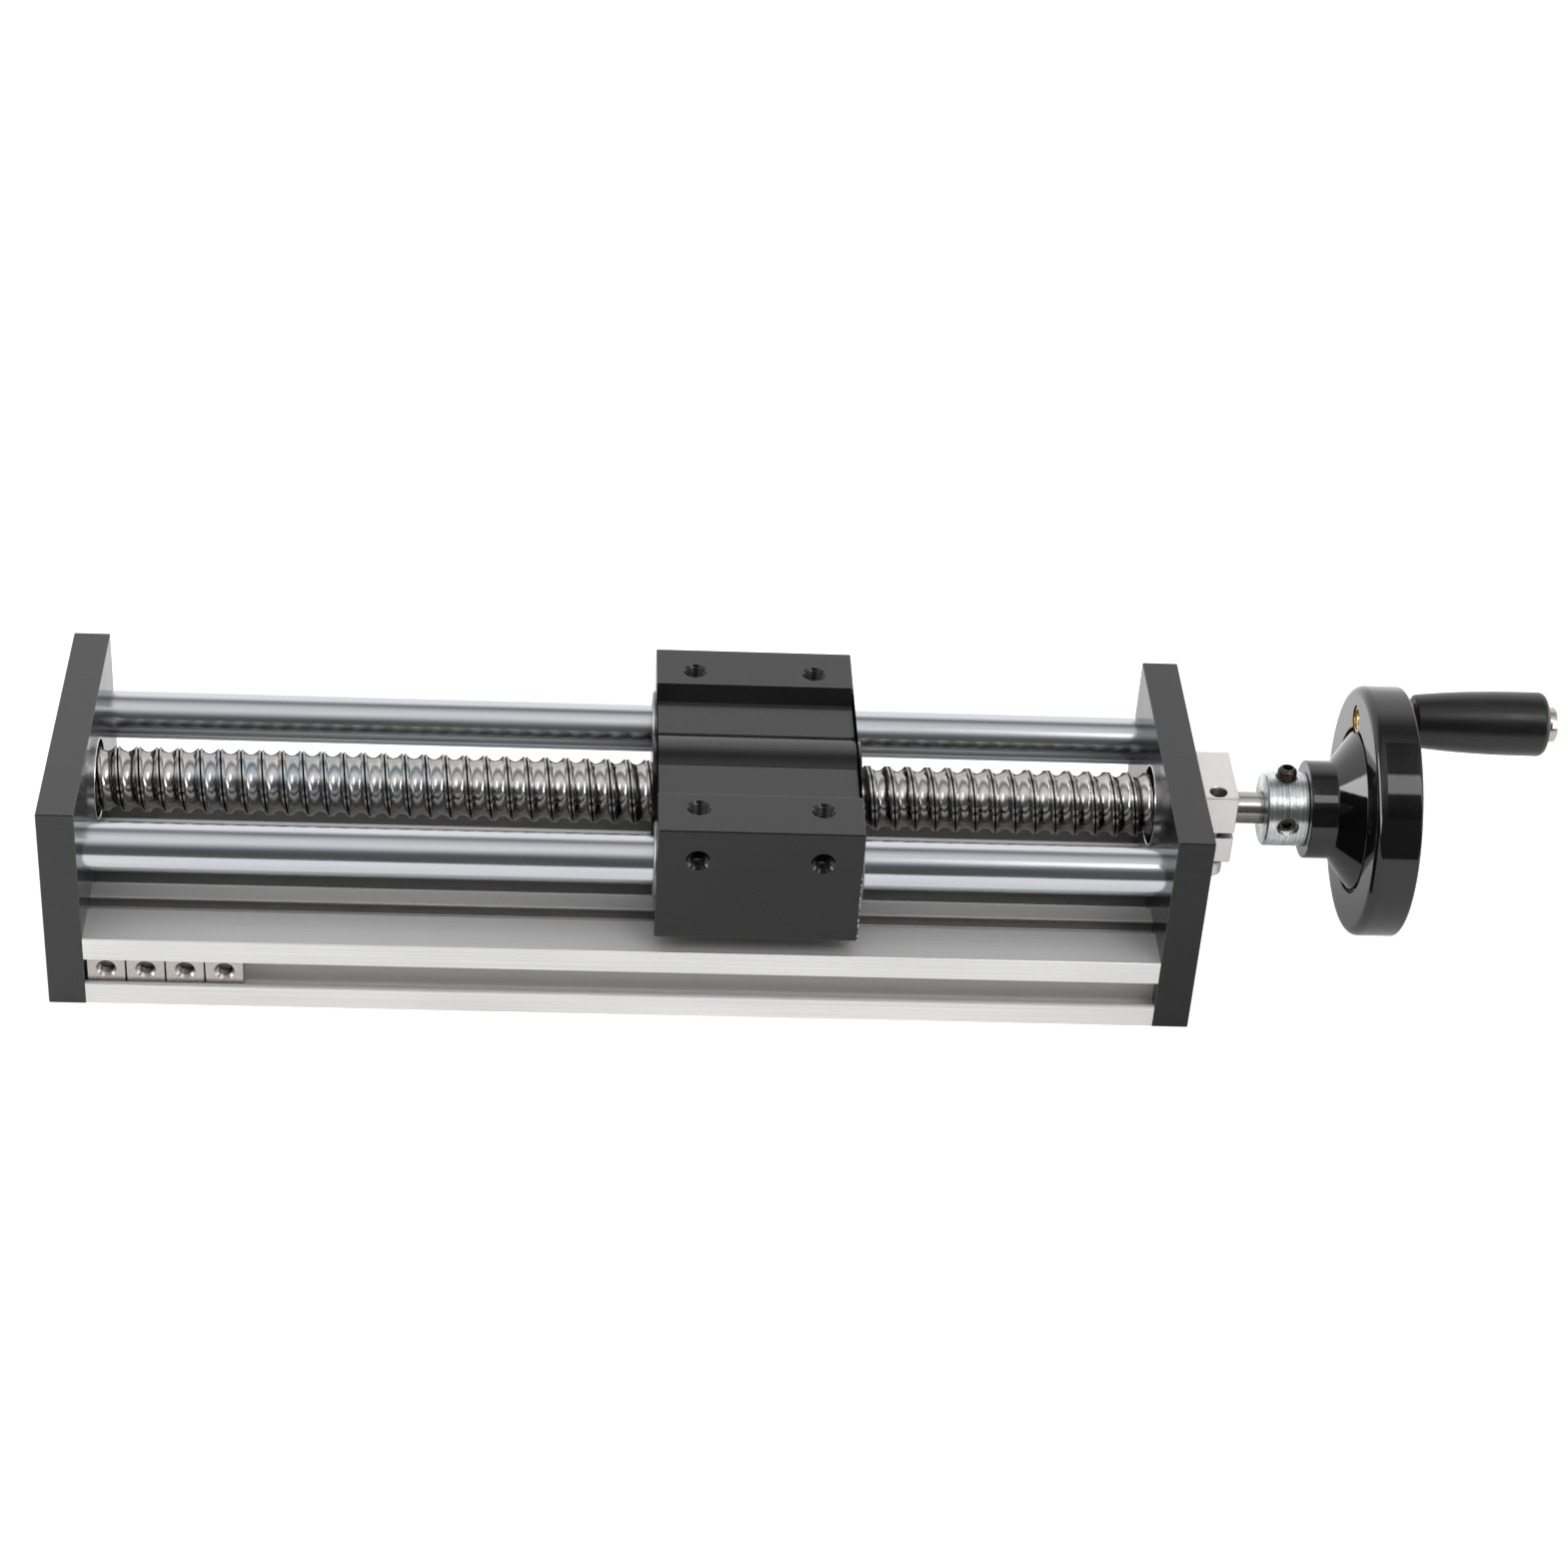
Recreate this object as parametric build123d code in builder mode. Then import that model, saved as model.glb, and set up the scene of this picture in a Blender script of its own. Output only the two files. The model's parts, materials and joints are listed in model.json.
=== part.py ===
from build123d import *
from math import ceil, cos, radians, sin, sqrt
import os

os.makedirs("parts", exist_ok=True)

# Frame: origin at the middle of the rail's underside, +X along the screw towards the
# handwheel, +Y to the back, +Z up. All lengths are in millimetres.

# Rail: one extruded length between the end plates
rail_length = 262.0
stage_width = 77.0
rail_height = 20.0
rail_corner_chamfer = 0.25

# T-slots in the rail's two sides and in its underside
slot_mouth = 7.0
slot_lip = 1.3
slot_depth = 4.5
slot_cavity_width = 11.0
slot_corner = 0.5
side_slot_height = 10.0
bottom_slot_offset = 20.0

# Plain grooves in the rail's top
outer_groove_width = 4.35
outer_groove_depth = 3.2
outer_groove_edge = 14.6
inner_groove_width = 5.5
inner_groove_depth = 4.2
inner_groove_offset = 13.35

# End plates: their top stands this much above the shaft
plate_rise = 17.0
plate_thickness = 9.0
edge_break = 0.2

# Guide rods
rod_radius = 6.0
rod_edge_distance = 11.0
shaft_height = 40.0
rod_seat_depth = 5.0
rod_end_chamfer = 0.8

# Ball screw: a right-hand ball track, with a land of this width between its turns
screw_radius = 8.0
screw_lead = 5.0
track_depth = 1.2
land_width = 1.3
land_foot_width = 3.1
land_root = 0.2
land_phase = -0.37
thread_end_gap = 1.8
neck_radius = 5.9
journal_radius = 4.0
journal_end_chamfer = 0.5

# Ball bearings in the end plates
bearing_outer_radius = 11.0
bearing_bore_radius = journal_radius
bearing_width = 7.0
bearing_race_thickness = 1.8
bearing_land_thickness = 2.05
bearing_lip_radius = 10.2
shield_thickness = 0.4
shield_recess = 0.4

# Fits and clearances
press_gap = 0.02
thread_gap = 0.05
rod_fit = 0.03
screw_fit = 0.07
rotor_gap = 0.3

# Plate screws and rod screws, with low round heads sunk in the plates
outer_plate_screw_edge = 9.0
inner_plate_screw_offset = 7.0
plate_screw_height = side_slot_height
plate_screw_length = 20.0
rod_screw_length = 14.0
screw_core_radius = 2.1
screw_clear_radius = 2.65
screw_head_radius = 4.5
screw_head_height = 2.0
screw_head_sink = 0.3
screw_head_play = 0.25

# Carriage
carriage_length = 49.5
carriage_rest_x = 31.2
carriage_depth_below_shaft = 15.2
carriage_rise = plate_rise
pad_width = 15.1
step_run = 3.6
step_drop = 3.5
bulge_radius = 15.1
bulge_fillet = 1.0

# Tapped holes of the carriage
carriage_hole_spacing = 30.0
carriage_hole_edge = 9.5
carriage_hole_core_radius = 2.1
carriage_hole_mouth_chamfer = 0.5
carriage_top_hole_depth = 6.5
carriage_side_hole_drop = 8.7
carriage_side_hole_depth = 3.6

# Ball nut
nut_radius = 14.0
nut_overhang = 0.9
wiper_radius = 10.5
wiper_thickness = 2.0

# Bushes of the carriage
bush_radius = 9.5
bush_length = 15.0
bush_overhang = 0.6

# Retaining ring at the left end of the screw
ring_radius = 7.0
ring_thickness = 0.8
ring_groove_depth = 0.3
ring_opening = 5.0
journal_tip = 1.4

# Clamp block outside the right plate
clamp_size = 20.0
clamp_length = 10.0
clamp_gap = 0.5
clamp_slit_width = 1.7
clamp_slit_drop = 1.6
clamp_screw_offset = 7.4
clamp_chamfer = 0.4
clamp_thread_core_radius = 1.65
clamp_clear_radius = 2.25
clamp_mouth_chamfer = 0.6
clamp_head_radius = 3.5
clamp_head_height = 4.0
clamp_screw_end_drop = 2.0
shim_radius = 5.8

# Steel sleeve in the handwheel's hub
sleeve_start_gap = 8.1
sleeve_radius = 9.35
sleeve_length = 10.5
sleeve_shank_radius = 7.0
set_screw_core_radius = 2.1
set_screw_proud = 2.5
set_screw_recess = 1.6
set_screw_lean = 5.5

# Handwheel
hub_radius = 12.3
hub_length = 6.6
cone_length = 5.6
cone_end_radius = 19.8
wheel_groove_width = 1.1
wheel_groove_depth = 2.5
wheel_radius = 31.4
rim_width = 11.2
rim_front_chamfer = 1.5
rim_back_chamfer = 0.6
back_recess_radius = 15.0
back_recess_depth = 3.0
shaft_end_recess = 1.0

# Revolving handle
handle_circle_radius = 23.0
handle_lean = 28.0
insert_radius = 3.5
insert_core_radius = 2.5
handle_washer_radius = 4.6
handle_washer_length = 2.8
handle_shank_radius = 2.9
handle_head_radius = 4.4
handle_head_height = 2.4
handle_slot_width = 2.0
handle_slot_depth = 1.6
handle_slot_lean = -35.0
grip_length = 33.5
grip_start_radius = 6.6
grip_end_radius = 8.05
grip_taper_share = 0.6
grip_end_chamfer = 1.6

# Square nuts in the front slot
slot_nut_count = 4
slot_nut_length = 9.25
slot_nut_gap = 0.25
slot_nut_end_gap = 0.5
slot_nut_lip_play = 0.1
slot_nut_back_play = 0.3
slot_nut_side_play = 0.4
slot_nut_core_radius = 1.65
slot_nut_mouth_chamfer = 0.9

# Places worked out from the sizes above
half_rail = rail_length / 2
half_width = stage_width / 2
plate_height = shaft_height + plate_rise
plate_outer_x = half_rail + plate_thickness
rod_offset = half_width - rod_edge_distance
outer_groove_offset = half_width - outer_groove_edge
outer_plate_screw_offset = half_width - outer_plate_screw_edge
carriage_top = shaft_height + carriage_rise
carriage_bottom = shaft_height - carriage_depth_below_shaft
carriage_hole_spread = stage_width - 2 * carriage_hole_edge
rod_length = rail_length + 2 * rod_seat_depth
thread_half_length = half_rail - thread_end_gap
track_root_radius = screw_radius - track_depth
land_half_turns = ceil(thread_half_length / screw_lead + 1)
bearing_inner_x = plate_outer_x - bearing_width
race_radius = bearing_bore_radius + bearing_race_thickness
land_radius = bearing_outer_radius - bearing_land_thickness
clamp_start = plate_outer_x + clamp_gap
clamp_end = clamp_start + clamp_length
sleeve_start = clamp_end + sleeve_start_gap
hub_start = sleeve_start + sleeve_length
cone_start = hub_start + hub_length
rim_start = cone_start + cone_length
rim_end = rim_start + rim_width
wheel_recess_x = rim_end - back_recess_depth
shaft_end_x = wheel_recess_x - shaft_end_recess
handle_y = handle_circle_radius * sin(radians(handle_lean))
handle_z = shaft_height + handle_circle_radius * cos(radians(handle_lean))
grip_start = rim_end + handle_washer_length + rotor_gap
grip_end = grip_start + grip_length
handle_head_x = grip_end + rotor_gap
low_flat_height = carriage_top - step_drop
pad_inner_y = half_width - pad_width
bulge_foot_y = sqrt(bulge_radius**2 - (low_flat_height - shaft_height) ** 2)
sleeve_screw_x = sleeve_start + sleeve_length / 2
clamp_middle_x = clamp_start + clamp_length / 2

screw_axis = Axis((0, 0, shaft_height), (1, 0, 0))
handle_axis = Axis((0, handle_y, handle_z), (1, 0, 0))
screw_plane = Plane(origin=(0, 0, shaft_height), x_dir=(1, 0, 0), z_dir=(0, -1, 0))
handle_plane = Plane(origin=(0, handle_y, handle_z), x_dir=(1, 0, 0), z_dir=(0, -1, 0))
plate_screw_points = [
    (side * offset_y, plate_screw_height)
    for side in (-1, 1)
    for offset_y in (outer_plate_screw_offset, inner_plate_screw_offset)
]
rod_points = [(-rod_offset, shaft_height), (rod_offset, shaft_height)]


def write_piece(piece, name):
    """Label one finished piece and write its file."""
    piece.label = name
    export_step(piece, f"parts/{name}.step")


def end_plane(side, x, y, z):
    """Plane at (x, y, z) that faces outwards from the left (-1) or right (+1) end."""
    return Plane(origin=(x, y, z), x_dir=(0, 1, 0), z_dir=(side, 0, 0))


def make_slot_section():
    """Section of a T-slot: its mouth is at the origin and it runs in along +Y."""
    with BuildSketch() as section:
        with BuildLine():
            Polyline(
                (0, 0),
                (slot_mouth / 2, 0),
                (slot_mouth / 2, slot_lip),
                (slot_cavity_width / 2, slot_lip),
                (slot_cavity_width / 2, slot_depth - slot_corner),
                (slot_cavity_width / 2 - slot_corner, slot_depth),
                (0, slot_depth),
            )
            mirror(about=Plane.YZ)
        make_face()
    return section.sketch


def make_ring(start_x, length, outer_radius, inner_radius, y=0.0, z=shaft_height):
    """Plain ring whose axis runs along X."""
    with BuildPart() as ring:
        with BuildSketch(Plane.YZ.offset(start_x)):
            with Locations((y, z)):
                Circle(outer_radius)
                Circle(inner_radius, mode=Mode.SUBTRACT)
        extrude(amount=length)
    return ring.part


def make_end_plate(side):
    """End plate with its bearing seat, rod seats and screw holes."""
    inner_x = side * half_rail
    outer_x = side * plate_outer_x
    with BuildPart() as plate:
        with BuildSketch(Plane.YZ.offset(inner_x)):
            with Locations((0, plate_height / 2)):
                Rectangle(stage_width, plate_height)
        extrude(amount=side * plate_thickness)
        chamfer(plate.edges(), length=edge_break)
        with BuildSketch(Plane.YZ.offset(inner_x)):
            with Locations((0, shaft_height)):
                Circle(bearing_lip_radius)
        extrude(amount=side * plate_thickness, mode=Mode.SUBTRACT)
        with BuildSketch(Plane.YZ.offset(outer_x)):
            with Locations((0, shaft_height)):
                Circle(bearing_outer_radius + press_gap)
        extrude(amount=-side * bearing_width, mode=Mode.SUBTRACT)
        with BuildSketch(Plane.YZ.offset(inner_x)):
            with Locations(*rod_points):
                Circle(rod_radius + press_gap)
        extrude(amount=side * rod_seat_depth, mode=Mode.SUBTRACT)
        for y, z in rod_points + plate_screw_points:
            with Locations(end_plane(side, outer_x, y, z)):
                CounterBoreHole(
                    screw_clear_radius,
                    screw_head_radius + screw_head_play,
                    screw_head_sink + screw_head_height,
                    depth=plate_thickness,
                )
    return plate.part


def make_low_head_screws(side, points, length):
    """Low-head screws in an end plate, each with its head below the plate's outer face."""
    head_x = side * (plate_outer_x - screw_head_sink)
    with BuildPart() as screws:
        for y, z in points:
            with BuildSketch(end_plane(-side, head_x, y, z)):
                Circle(screw_core_radius - thread_gap)
            extrude(amount=length)
            with BuildSketch(end_plane(-side, head_x, y, z)):
                Circle(screw_head_radius)
            extrude(amount=screw_head_height)
    return screws.part


def make_guide_rod(y):
    """Round rod between the blind seats of the two plates, tapped at both ends."""
    with BuildPart() as rod:
        with BuildSketch(Plane.YZ.offset(-rod_length / 2)):
            with Locations((y, shaft_height)):
                Circle(rod_radius)
        extrude(amount=rod_length)
        chamfer(rod.edges(), length=rod_end_chamfer)
        for side in (-1, 1):
            with Locations(end_plane(side, side * rod_length / 2, y, shaft_height)):
                Hole(screw_core_radius, depth=rod_screw_length)
    return rod.part


def make_bearing_outer_ring(side):
    """Outer ring of a bearing, seated against the lip of its plate."""
    with BuildPart() as ring:
        with BuildSketch(Plane.YZ.offset(side * bearing_inner_x)):
            with Locations((0, shaft_height)):
                Circle(bearing_outer_radius)
                Circle(land_radius, mode=Mode.SUBTRACT)
        extrude(amount=side * bearing_width)
    return ring.part


def make_bearing_shields(side):
    """The two thin shields that close a bearing, one behind each face."""
    with BuildPart() as shields:
        for start in (
            bearing_inner_x + shield_recess,
            plate_outer_x - shield_recess - shield_thickness,
        ):
            with BuildSketch(Plane.YZ.offset(side * start)):
                with Locations((0, shaft_height)):
                    Circle(land_radius)
                    Circle(race_radius + rotor_gap, mode=Mode.SUBTRACT)
            extrude(amount=side * shield_thickness)
    return shields.part


def make_bush(y, side):
    """Slide bush at one end of the carriage, standing a little proud of its face."""
    bush_outer_x = carriage_rest_x + side * (carriage_length / 2 + bush_overhang)
    with BuildPart() as bush:
        with BuildSketch(Plane.YZ.offset(bush_outer_x)):
            with Locations((y, shaft_height)):
                Circle(bush_radius)
                Circle(rod_radius + rod_fit, mode=Mode.SUBTRACT)
        extrude(amount=-side * bush_length)
    return bush.part


# Rail
slot_section = make_slot_section()
with BuildPart() as base_rail:
    with BuildSketch(Plane.YZ.offset(-half_rail)) as rail_section:
        with Locations((0, rail_height / 2)):
            Rectangle(stage_width, rail_height)
        for side in (-1, 1):
            with Locations(Location((side * half_width, side_slot_height), (0, 0, side * 90))):
                add(slot_section, mode=Mode.SUBTRACT)
            with Locations((side * bottom_slot_offset, 0)):
                add(slot_section, mode=Mode.SUBTRACT)
            with Locations((side * outer_groove_offset, rail_height - outer_groove_depth / 2)):
                Rectangle(outer_groove_width, outer_groove_depth, mode=Mode.SUBTRACT)
            with Locations((side * inner_groove_offset, rail_height - inner_groove_depth / 2)):
                Rectangle(inner_groove_width, inner_groove_depth, mode=Mode.SUBTRACT)
        chamfer(rail_section.vertices(), length=rail_corner_chamfer)
        with Locations(*plate_screw_points):
            Circle(screw_core_radius, mode=Mode.SUBTRACT)
    extrude(amount=rail_length)
write_piece(base_rail.part, "base_rail")

# End plates with their screws and bearings
for side, end_name in ((-1, "left"), (1, "right")):
    write_piece(make_end_plate(side), f"{end_name}_end_plate")
    write_piece(
        make_low_head_screws(side, plate_screw_points, plate_screw_length),
        f"{end_name}_plate_screws",
    )
    write_piece(
        make_low_head_screws(side, rod_points, rod_screw_length),
        f"{end_name}_rod_screws",
    )
    write_piece(make_bearing_outer_ring(side), f"{end_name}_bearing_outer_ring")
    write_piece(make_bearing_shields(side), f"{end_name}_bearing_shields")
    write_piece(
        make_ring(
            side * bearing_inner_x,
            side * bearing_width,
            race_radius,
            bearing_bore_radius + press_gap,
        ),
        f"{end_name}_bearing_inner_ring",
    )

# Guide rods
for y, row_name in ((-rod_offset, "front"), (rod_offset, "rear")):
    write_piece(make_guide_rod(y), f"{row_name}_guide_rod")

# Carriage block: one extruded form with a raised middle over the nut
with BuildPart() as carriage_block:
    with BuildSketch(Plane.YZ.offset(carriage_rest_x - carriage_length / 2)) as block_section:
        with BuildLine():
            bulge_mid_y = bulge_foot_y / 2
            bulge_mid_z = shaft_height + sqrt(bulge_radius**2 - bulge_mid_y**2)
            Polyline(
                (0, carriage_bottom),
                (half_width, carriage_bottom),
                (half_width, carriage_top),
                (pad_inner_y, carriage_top),
                (pad_inner_y - step_run, low_flat_height),
                (bulge_foot_y, low_flat_height),
            )
            ThreePointArc(
                (bulge_foot_y, low_flat_height),
                (bulge_mid_y, bulge_mid_z),
                (0, shaft_height + bulge_radius),
            )
            mirror(about=Plane.YZ)
        make_face()
        bulge_feet = block_section.vertices().filter_by(
            lambda corner: abs(abs(corner.X) - bulge_foot_y) < press_gap
        )
        fillet(bulge_feet, radius=bulge_fillet)
    extrude(amount=carriage_length)
    chamfer(carriage_block.faces().filter_by(Axis.X).edges(), length=edge_break)
    with BuildSketch(Plane.YZ.offset(carriage_rest_x - carriage_length / 2)):
        with Locations((0, shaft_height)):
            Circle(nut_radius + press_gap)
        with Locations(*rod_points):
            Circle(bush_radius + press_gap)
    extrude(amount=carriage_length, mode=Mode.SUBTRACT)
    with Locations(Plane(origin=(carriage_rest_x, 0, carriage_top))):
        with GridLocations(carriage_hole_spacing, carriage_hole_spread, 2, 2):
            CounterSinkHole(
                carriage_hole_core_radius,
                carriage_hole_core_radius + carriage_hole_mouth_chamfer,
                depth=carriage_top_hole_depth,
                counter_sink_angle=90,
            )
    for side in (-1, 1):
        side_plane = Plane(
            origin=(carriage_rest_x, side * half_width, carriage_top - carriage_side_hole_drop),
            x_dir=(1, 0, 0),
            z_dir=(0, side, 0),
        )
        with Locations(side_plane):
            with GridLocations(carriage_hole_spacing, 0, 2, 1):
                CounterSinkHole(
                    carriage_hole_core_radius,
                    carriage_hole_core_radius + carriage_hole_mouth_chamfer,
                    depth=carriage_side_hole_depth,
                    counter_sink_angle=90,
                )
write_piece(carriage_block.part, "carriage_block")

# Bushes
for y, row_name in ((-rod_offset, "front"), (rod_offset, "rear")):
    for side, end_name in ((-1, "left"), (1, "right")):
        write_piece(make_bush(y, side), f"{row_name}_{end_name}_bush")

# Ball nut with a wiper in each end
nut_start = carriage_rest_x - carriage_length / 2 - nut_overhang
nut_end = carriage_rest_x + carriage_length / 2 + nut_overhang
with BuildPart() as ball_nut:
    with BuildSketch(Plane.YZ.offset(nut_start)):
        with Locations((0, shaft_height)):
            Circle(nut_radius)
            Circle(screw_radius + screw_fit, mode=Mode.SUBTRACT)
    extrude(amount=nut_end - nut_start)
    for start, step in ((nut_start, wiper_thickness), (nut_end, -wiper_thickness)):
        with BuildSketch(Plane.YZ.offset(start)):
            with Locations((0, shaft_height)):
                Circle(wiper_radius + press_gap)
        extrude(amount=step, mode=Mode.SUBTRACT)
write_piece(ball_nut.part, "ball_nut")

for start, end_name in ((nut_start, "left"), (nut_end - wiper_thickness, "right")):
    write_piece(
        make_ring(start, wiper_thickness, wiper_radius, screw_radius + rotor_gap),
        f"{end_name}_nut_wiper",
    )

# Ball screw: the land between the turns of its ball track is a helical rib that runs out
# past both ends of the thread, is cut off there and stands on the turned core
ring_groove_x = -plate_outer_x - ring_thickness
with BuildLine() as land_path:
    for turn in range(-land_half_turns, land_half_turns):
        Helix(
            pitch=screw_lead,
            height=screw_lead,
            radius=track_root_radius,
            center=(land_phase + turn * screw_lead, 0, shaft_height),
            direction=(1, 0, 0),
        )
land_wire = land_path.wire()
with BuildPart() as ball_screw:
    with BuildSketch(Plane(origin=land_wire @ 0, x_dir=(1, 0, 0), z_dir=(0, -1, 0))):
        with BuildLine():
            Polyline(
                (-land_foot_width / 2, -land_root),
                (land_foot_width / 2, -land_root),
                (land_width / 2, track_depth),
                (-land_width / 2, track_depth),
                close=True,
            )
        make_face()
    sweep(path=land_wire, is_frenet=True)
    for side in (-1, 1):
        with BuildSketch(end_plane(side, side * thread_half_length, 0, shaft_height)):
            Circle(2 * screw_radius)
        extrude(amount=3 * screw_lead, mode=Mode.SUBTRACT)
    with BuildSketch(screw_plane):
        with BuildLine():
            Polyline(
                (-plate_outer_x - ring_thickness - journal_tip, 0),
                (-plate_outer_x - ring_thickness - journal_tip, journal_radius),
                (ring_groove_x, journal_radius),
                (ring_groove_x, journal_radius - ring_groove_depth),
                (-plate_outer_x, journal_radius - ring_groove_depth),
                (-plate_outer_x, journal_radius),
                (-bearing_inner_x, journal_radius),
                (-bearing_inner_x, neck_radius),
                (-thread_half_length, neck_radius),
                (-thread_half_length, track_root_radius),
                (thread_half_length, track_root_radius),
                (thread_half_length, neck_radius),
                (bearing_inner_x, neck_radius),
                (bearing_inner_x, journal_radius),
                (shaft_end_x - journal_end_chamfer, journal_radius),
                (shaft_end_x, journal_radius - journal_end_chamfer),
                (shaft_end_x, 0),
                close=True,
            )
        make_face()
    revolve(axis=screw_axis)
write_piece(ball_screw.part, "ball_screw")

# Retaining ring in the groove outside the left bearing
with BuildPart() as left_retaining_ring:
    with BuildSketch(Plane.YZ.offset(ring_groove_x)):
        with Locations((0, shaft_height)):
            Circle(ring_radius)
            Circle(journal_radius - ring_groove_depth + press_gap, mode=Mode.SUBTRACT)
        with Locations((0, shaft_height - ring_radius / 2)):
            Rectangle(ring_opening, ring_radius, mode=Mode.SUBTRACT)
    extrude(amount=ring_thickness)
write_piece(left_retaining_ring.part, "left_retaining_ring")

# Shim between the right bearing and the clamp block
write_piece(
    make_ring(plate_outer_x, clamp_gap, shim_radius, journal_radius + press_gap),
    "thrust_shim",
)

# Split clamp block on the screw's journal
clamp_screw_plane = Plane(origin=(clamp_middle_x, -clamp_screw_offset, shaft_height))
slit_height = shaft_height - clamp_slit_drop
with BuildPart() as shaft_clamp_block:
    with BuildSketch(Plane.YZ.offset(clamp_start)):
        with Locations((0, shaft_height)):
            Rectangle(clamp_size, clamp_size)
    extrude(amount=clamp_length)
    chamfer(shaft_clamp_block.edges(), length=clamp_chamfer)
    with BuildSketch(Plane.YZ.offset(clamp_start)):
        with Locations((0, shaft_height)):
            Circle(journal_radius + press_gap)
        with Locations((-clamp_size / 2, slit_height)):
            Rectangle(clamp_size, clamp_slit_width)
    extrude(amount=clamp_length, mode=Mode.SUBTRACT)
    with BuildSketch(clamp_screw_plane.offset(-clamp_slit_drop)):
        Circle(clamp_thread_core_radius)
    extrude(amount=clamp_size / 2 + clamp_slit_drop, mode=Mode.SUBTRACT)
    with BuildSketch(clamp_screw_plane.offset(clamp_size / 2)):
        Circle(clamp_thread_core_radius + clamp_mouth_chamfer)
    extrude(amount=-clamp_mouth_chamfer, taper=45, mode=Mode.SUBTRACT)
    with BuildSketch(clamp_screw_plane.offset(-clamp_size / 2)):
        Circle(clamp_clear_radius)
    extrude(amount=clamp_size / 2 - clamp_slit_drop, mode=Mode.SUBTRACT)
write_piece(shaft_clamp_block.part, "shaft_clamp_block")

# Cap screw that draws the clamp block together from below
with BuildPart() as clamp_screw:
    with BuildSketch(clamp_screw_plane.offset(-clamp_size / 2)):
        Circle(clamp_thread_core_radius - thread_gap)
    extrude(amount=clamp_size - clamp_screw_end_drop)
    with BuildSketch(clamp_screw_plane.offset(-clamp_size / 2)):
        Circle(clamp_head_radius)
    extrude(amount=-clamp_head_height)
write_piece(clamp_screw.part, "clamp_screw")

# Steel sleeve: its shank is fixed in the wheel and its head shows in front of the hub
set_screw_sine = sin(radians(set_screw_lean))
set_screw_cosine = cos(radians(set_screw_lean))
set_screw_top_plane = Plane(
    origin=(sleeve_screw_x, 0, shaft_height),
    x_dir=(1, 0, 0),
    z_dir=(0, set_screw_sine, set_screw_cosine),
)
set_screw_front_plane = Plane(
    origin=(sleeve_screw_x, 0, shaft_height),
    x_dir=(1, 0, 0),
    z_dir=(0, -set_screw_cosine, set_screw_sine),
)
with BuildPart() as hub_sleeve:
    with BuildSketch(screw_plane):
        with BuildLine():
            Polyline(
                (sleeve_start, journal_radius + press_gap),
                (sleeve_start, sleeve_radius),
                (hub_start, sleeve_radius),
                (hub_start, sleeve_shank_radius),
                (wheel_recess_x, sleeve_shank_radius),
                (wheel_recess_x, journal_radius + press_gap),
                close=True,
            )
        make_face()
    revolve(axis=screw_axis)
    for screw_plane_out in (set_screw_top_plane, set_screw_front_plane):
        with BuildSketch(screw_plane_out):
            Circle(set_screw_core_radius + thread_gap)
        extrude(amount=sleeve_radius, mode=Mode.SUBTRACT)
write_piece(hub_sleeve.part, "hub_sleeve")

# Set screws: the upper one stands proud, the front one is sunk
with BuildPart() as sleeve_set_screws:
    for screw_plane_out, tip_radius in (
        (set_screw_top_plane, sleeve_radius + set_screw_proud),
        (set_screw_front_plane, sleeve_radius - set_screw_recess),
    ):
        with BuildSketch(screw_plane_out.offset(journal_radius + press_gap)):
            Circle(set_screw_core_radius)
        extrude(amount=tip_radius - journal_radius - press_gap)
write_piece(sleeve_set_screws.part, "sleeve_set_screws")

# Handwheel: hub, cone, ring groove, flat ring and rim in one turned section
groove_outer_radius = cone_end_radius + wheel_groove_width
with BuildPart() as handwheel:
    with BuildSketch(screw_plane) as wheel_section:
        with BuildLine():
            Polyline(
                (hub_start, sleeve_shank_radius + press_gap),
                (hub_start, hub_radius),
                (cone_start, hub_radius),
                (rim_start, cone_end_radius),
                (rim_start + wheel_groove_depth, cone_end_radius),
                (rim_start + wheel_groove_depth, groove_outer_radius),
                (rim_start, groove_outer_radius),
                (rim_start, wheel_radius),
                (rim_end, wheel_radius),
                (rim_end, back_recess_radius),
                (wheel_recess_x, back_recess_radius),
                (wheel_recess_x, sleeve_shank_radius + press_gap),
                close=True,
            )
        make_face()
        rim_corners = wheel_section.vertices().group_by(Axis.Y)[-1].sort_by(Axis.X)
        chamfer(rim_corners[0], length=rim_front_chamfer)
        rim_corners = wheel_section.vertices().group_by(Axis.Y)[-1].sort_by(Axis.X)
        chamfer(rim_corners[-1], length=rim_back_chamfer)
    revolve(axis=screw_axis)
    with BuildSketch(Plane.YZ.offset(rim_start)):
        with Locations((handle_y, handle_z)):
            Circle(insert_radius + press_gap)
    extrude(amount=rim_width, mode=Mode.SUBTRACT)
write_piece(handwheel.part, "handwheel")

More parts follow.
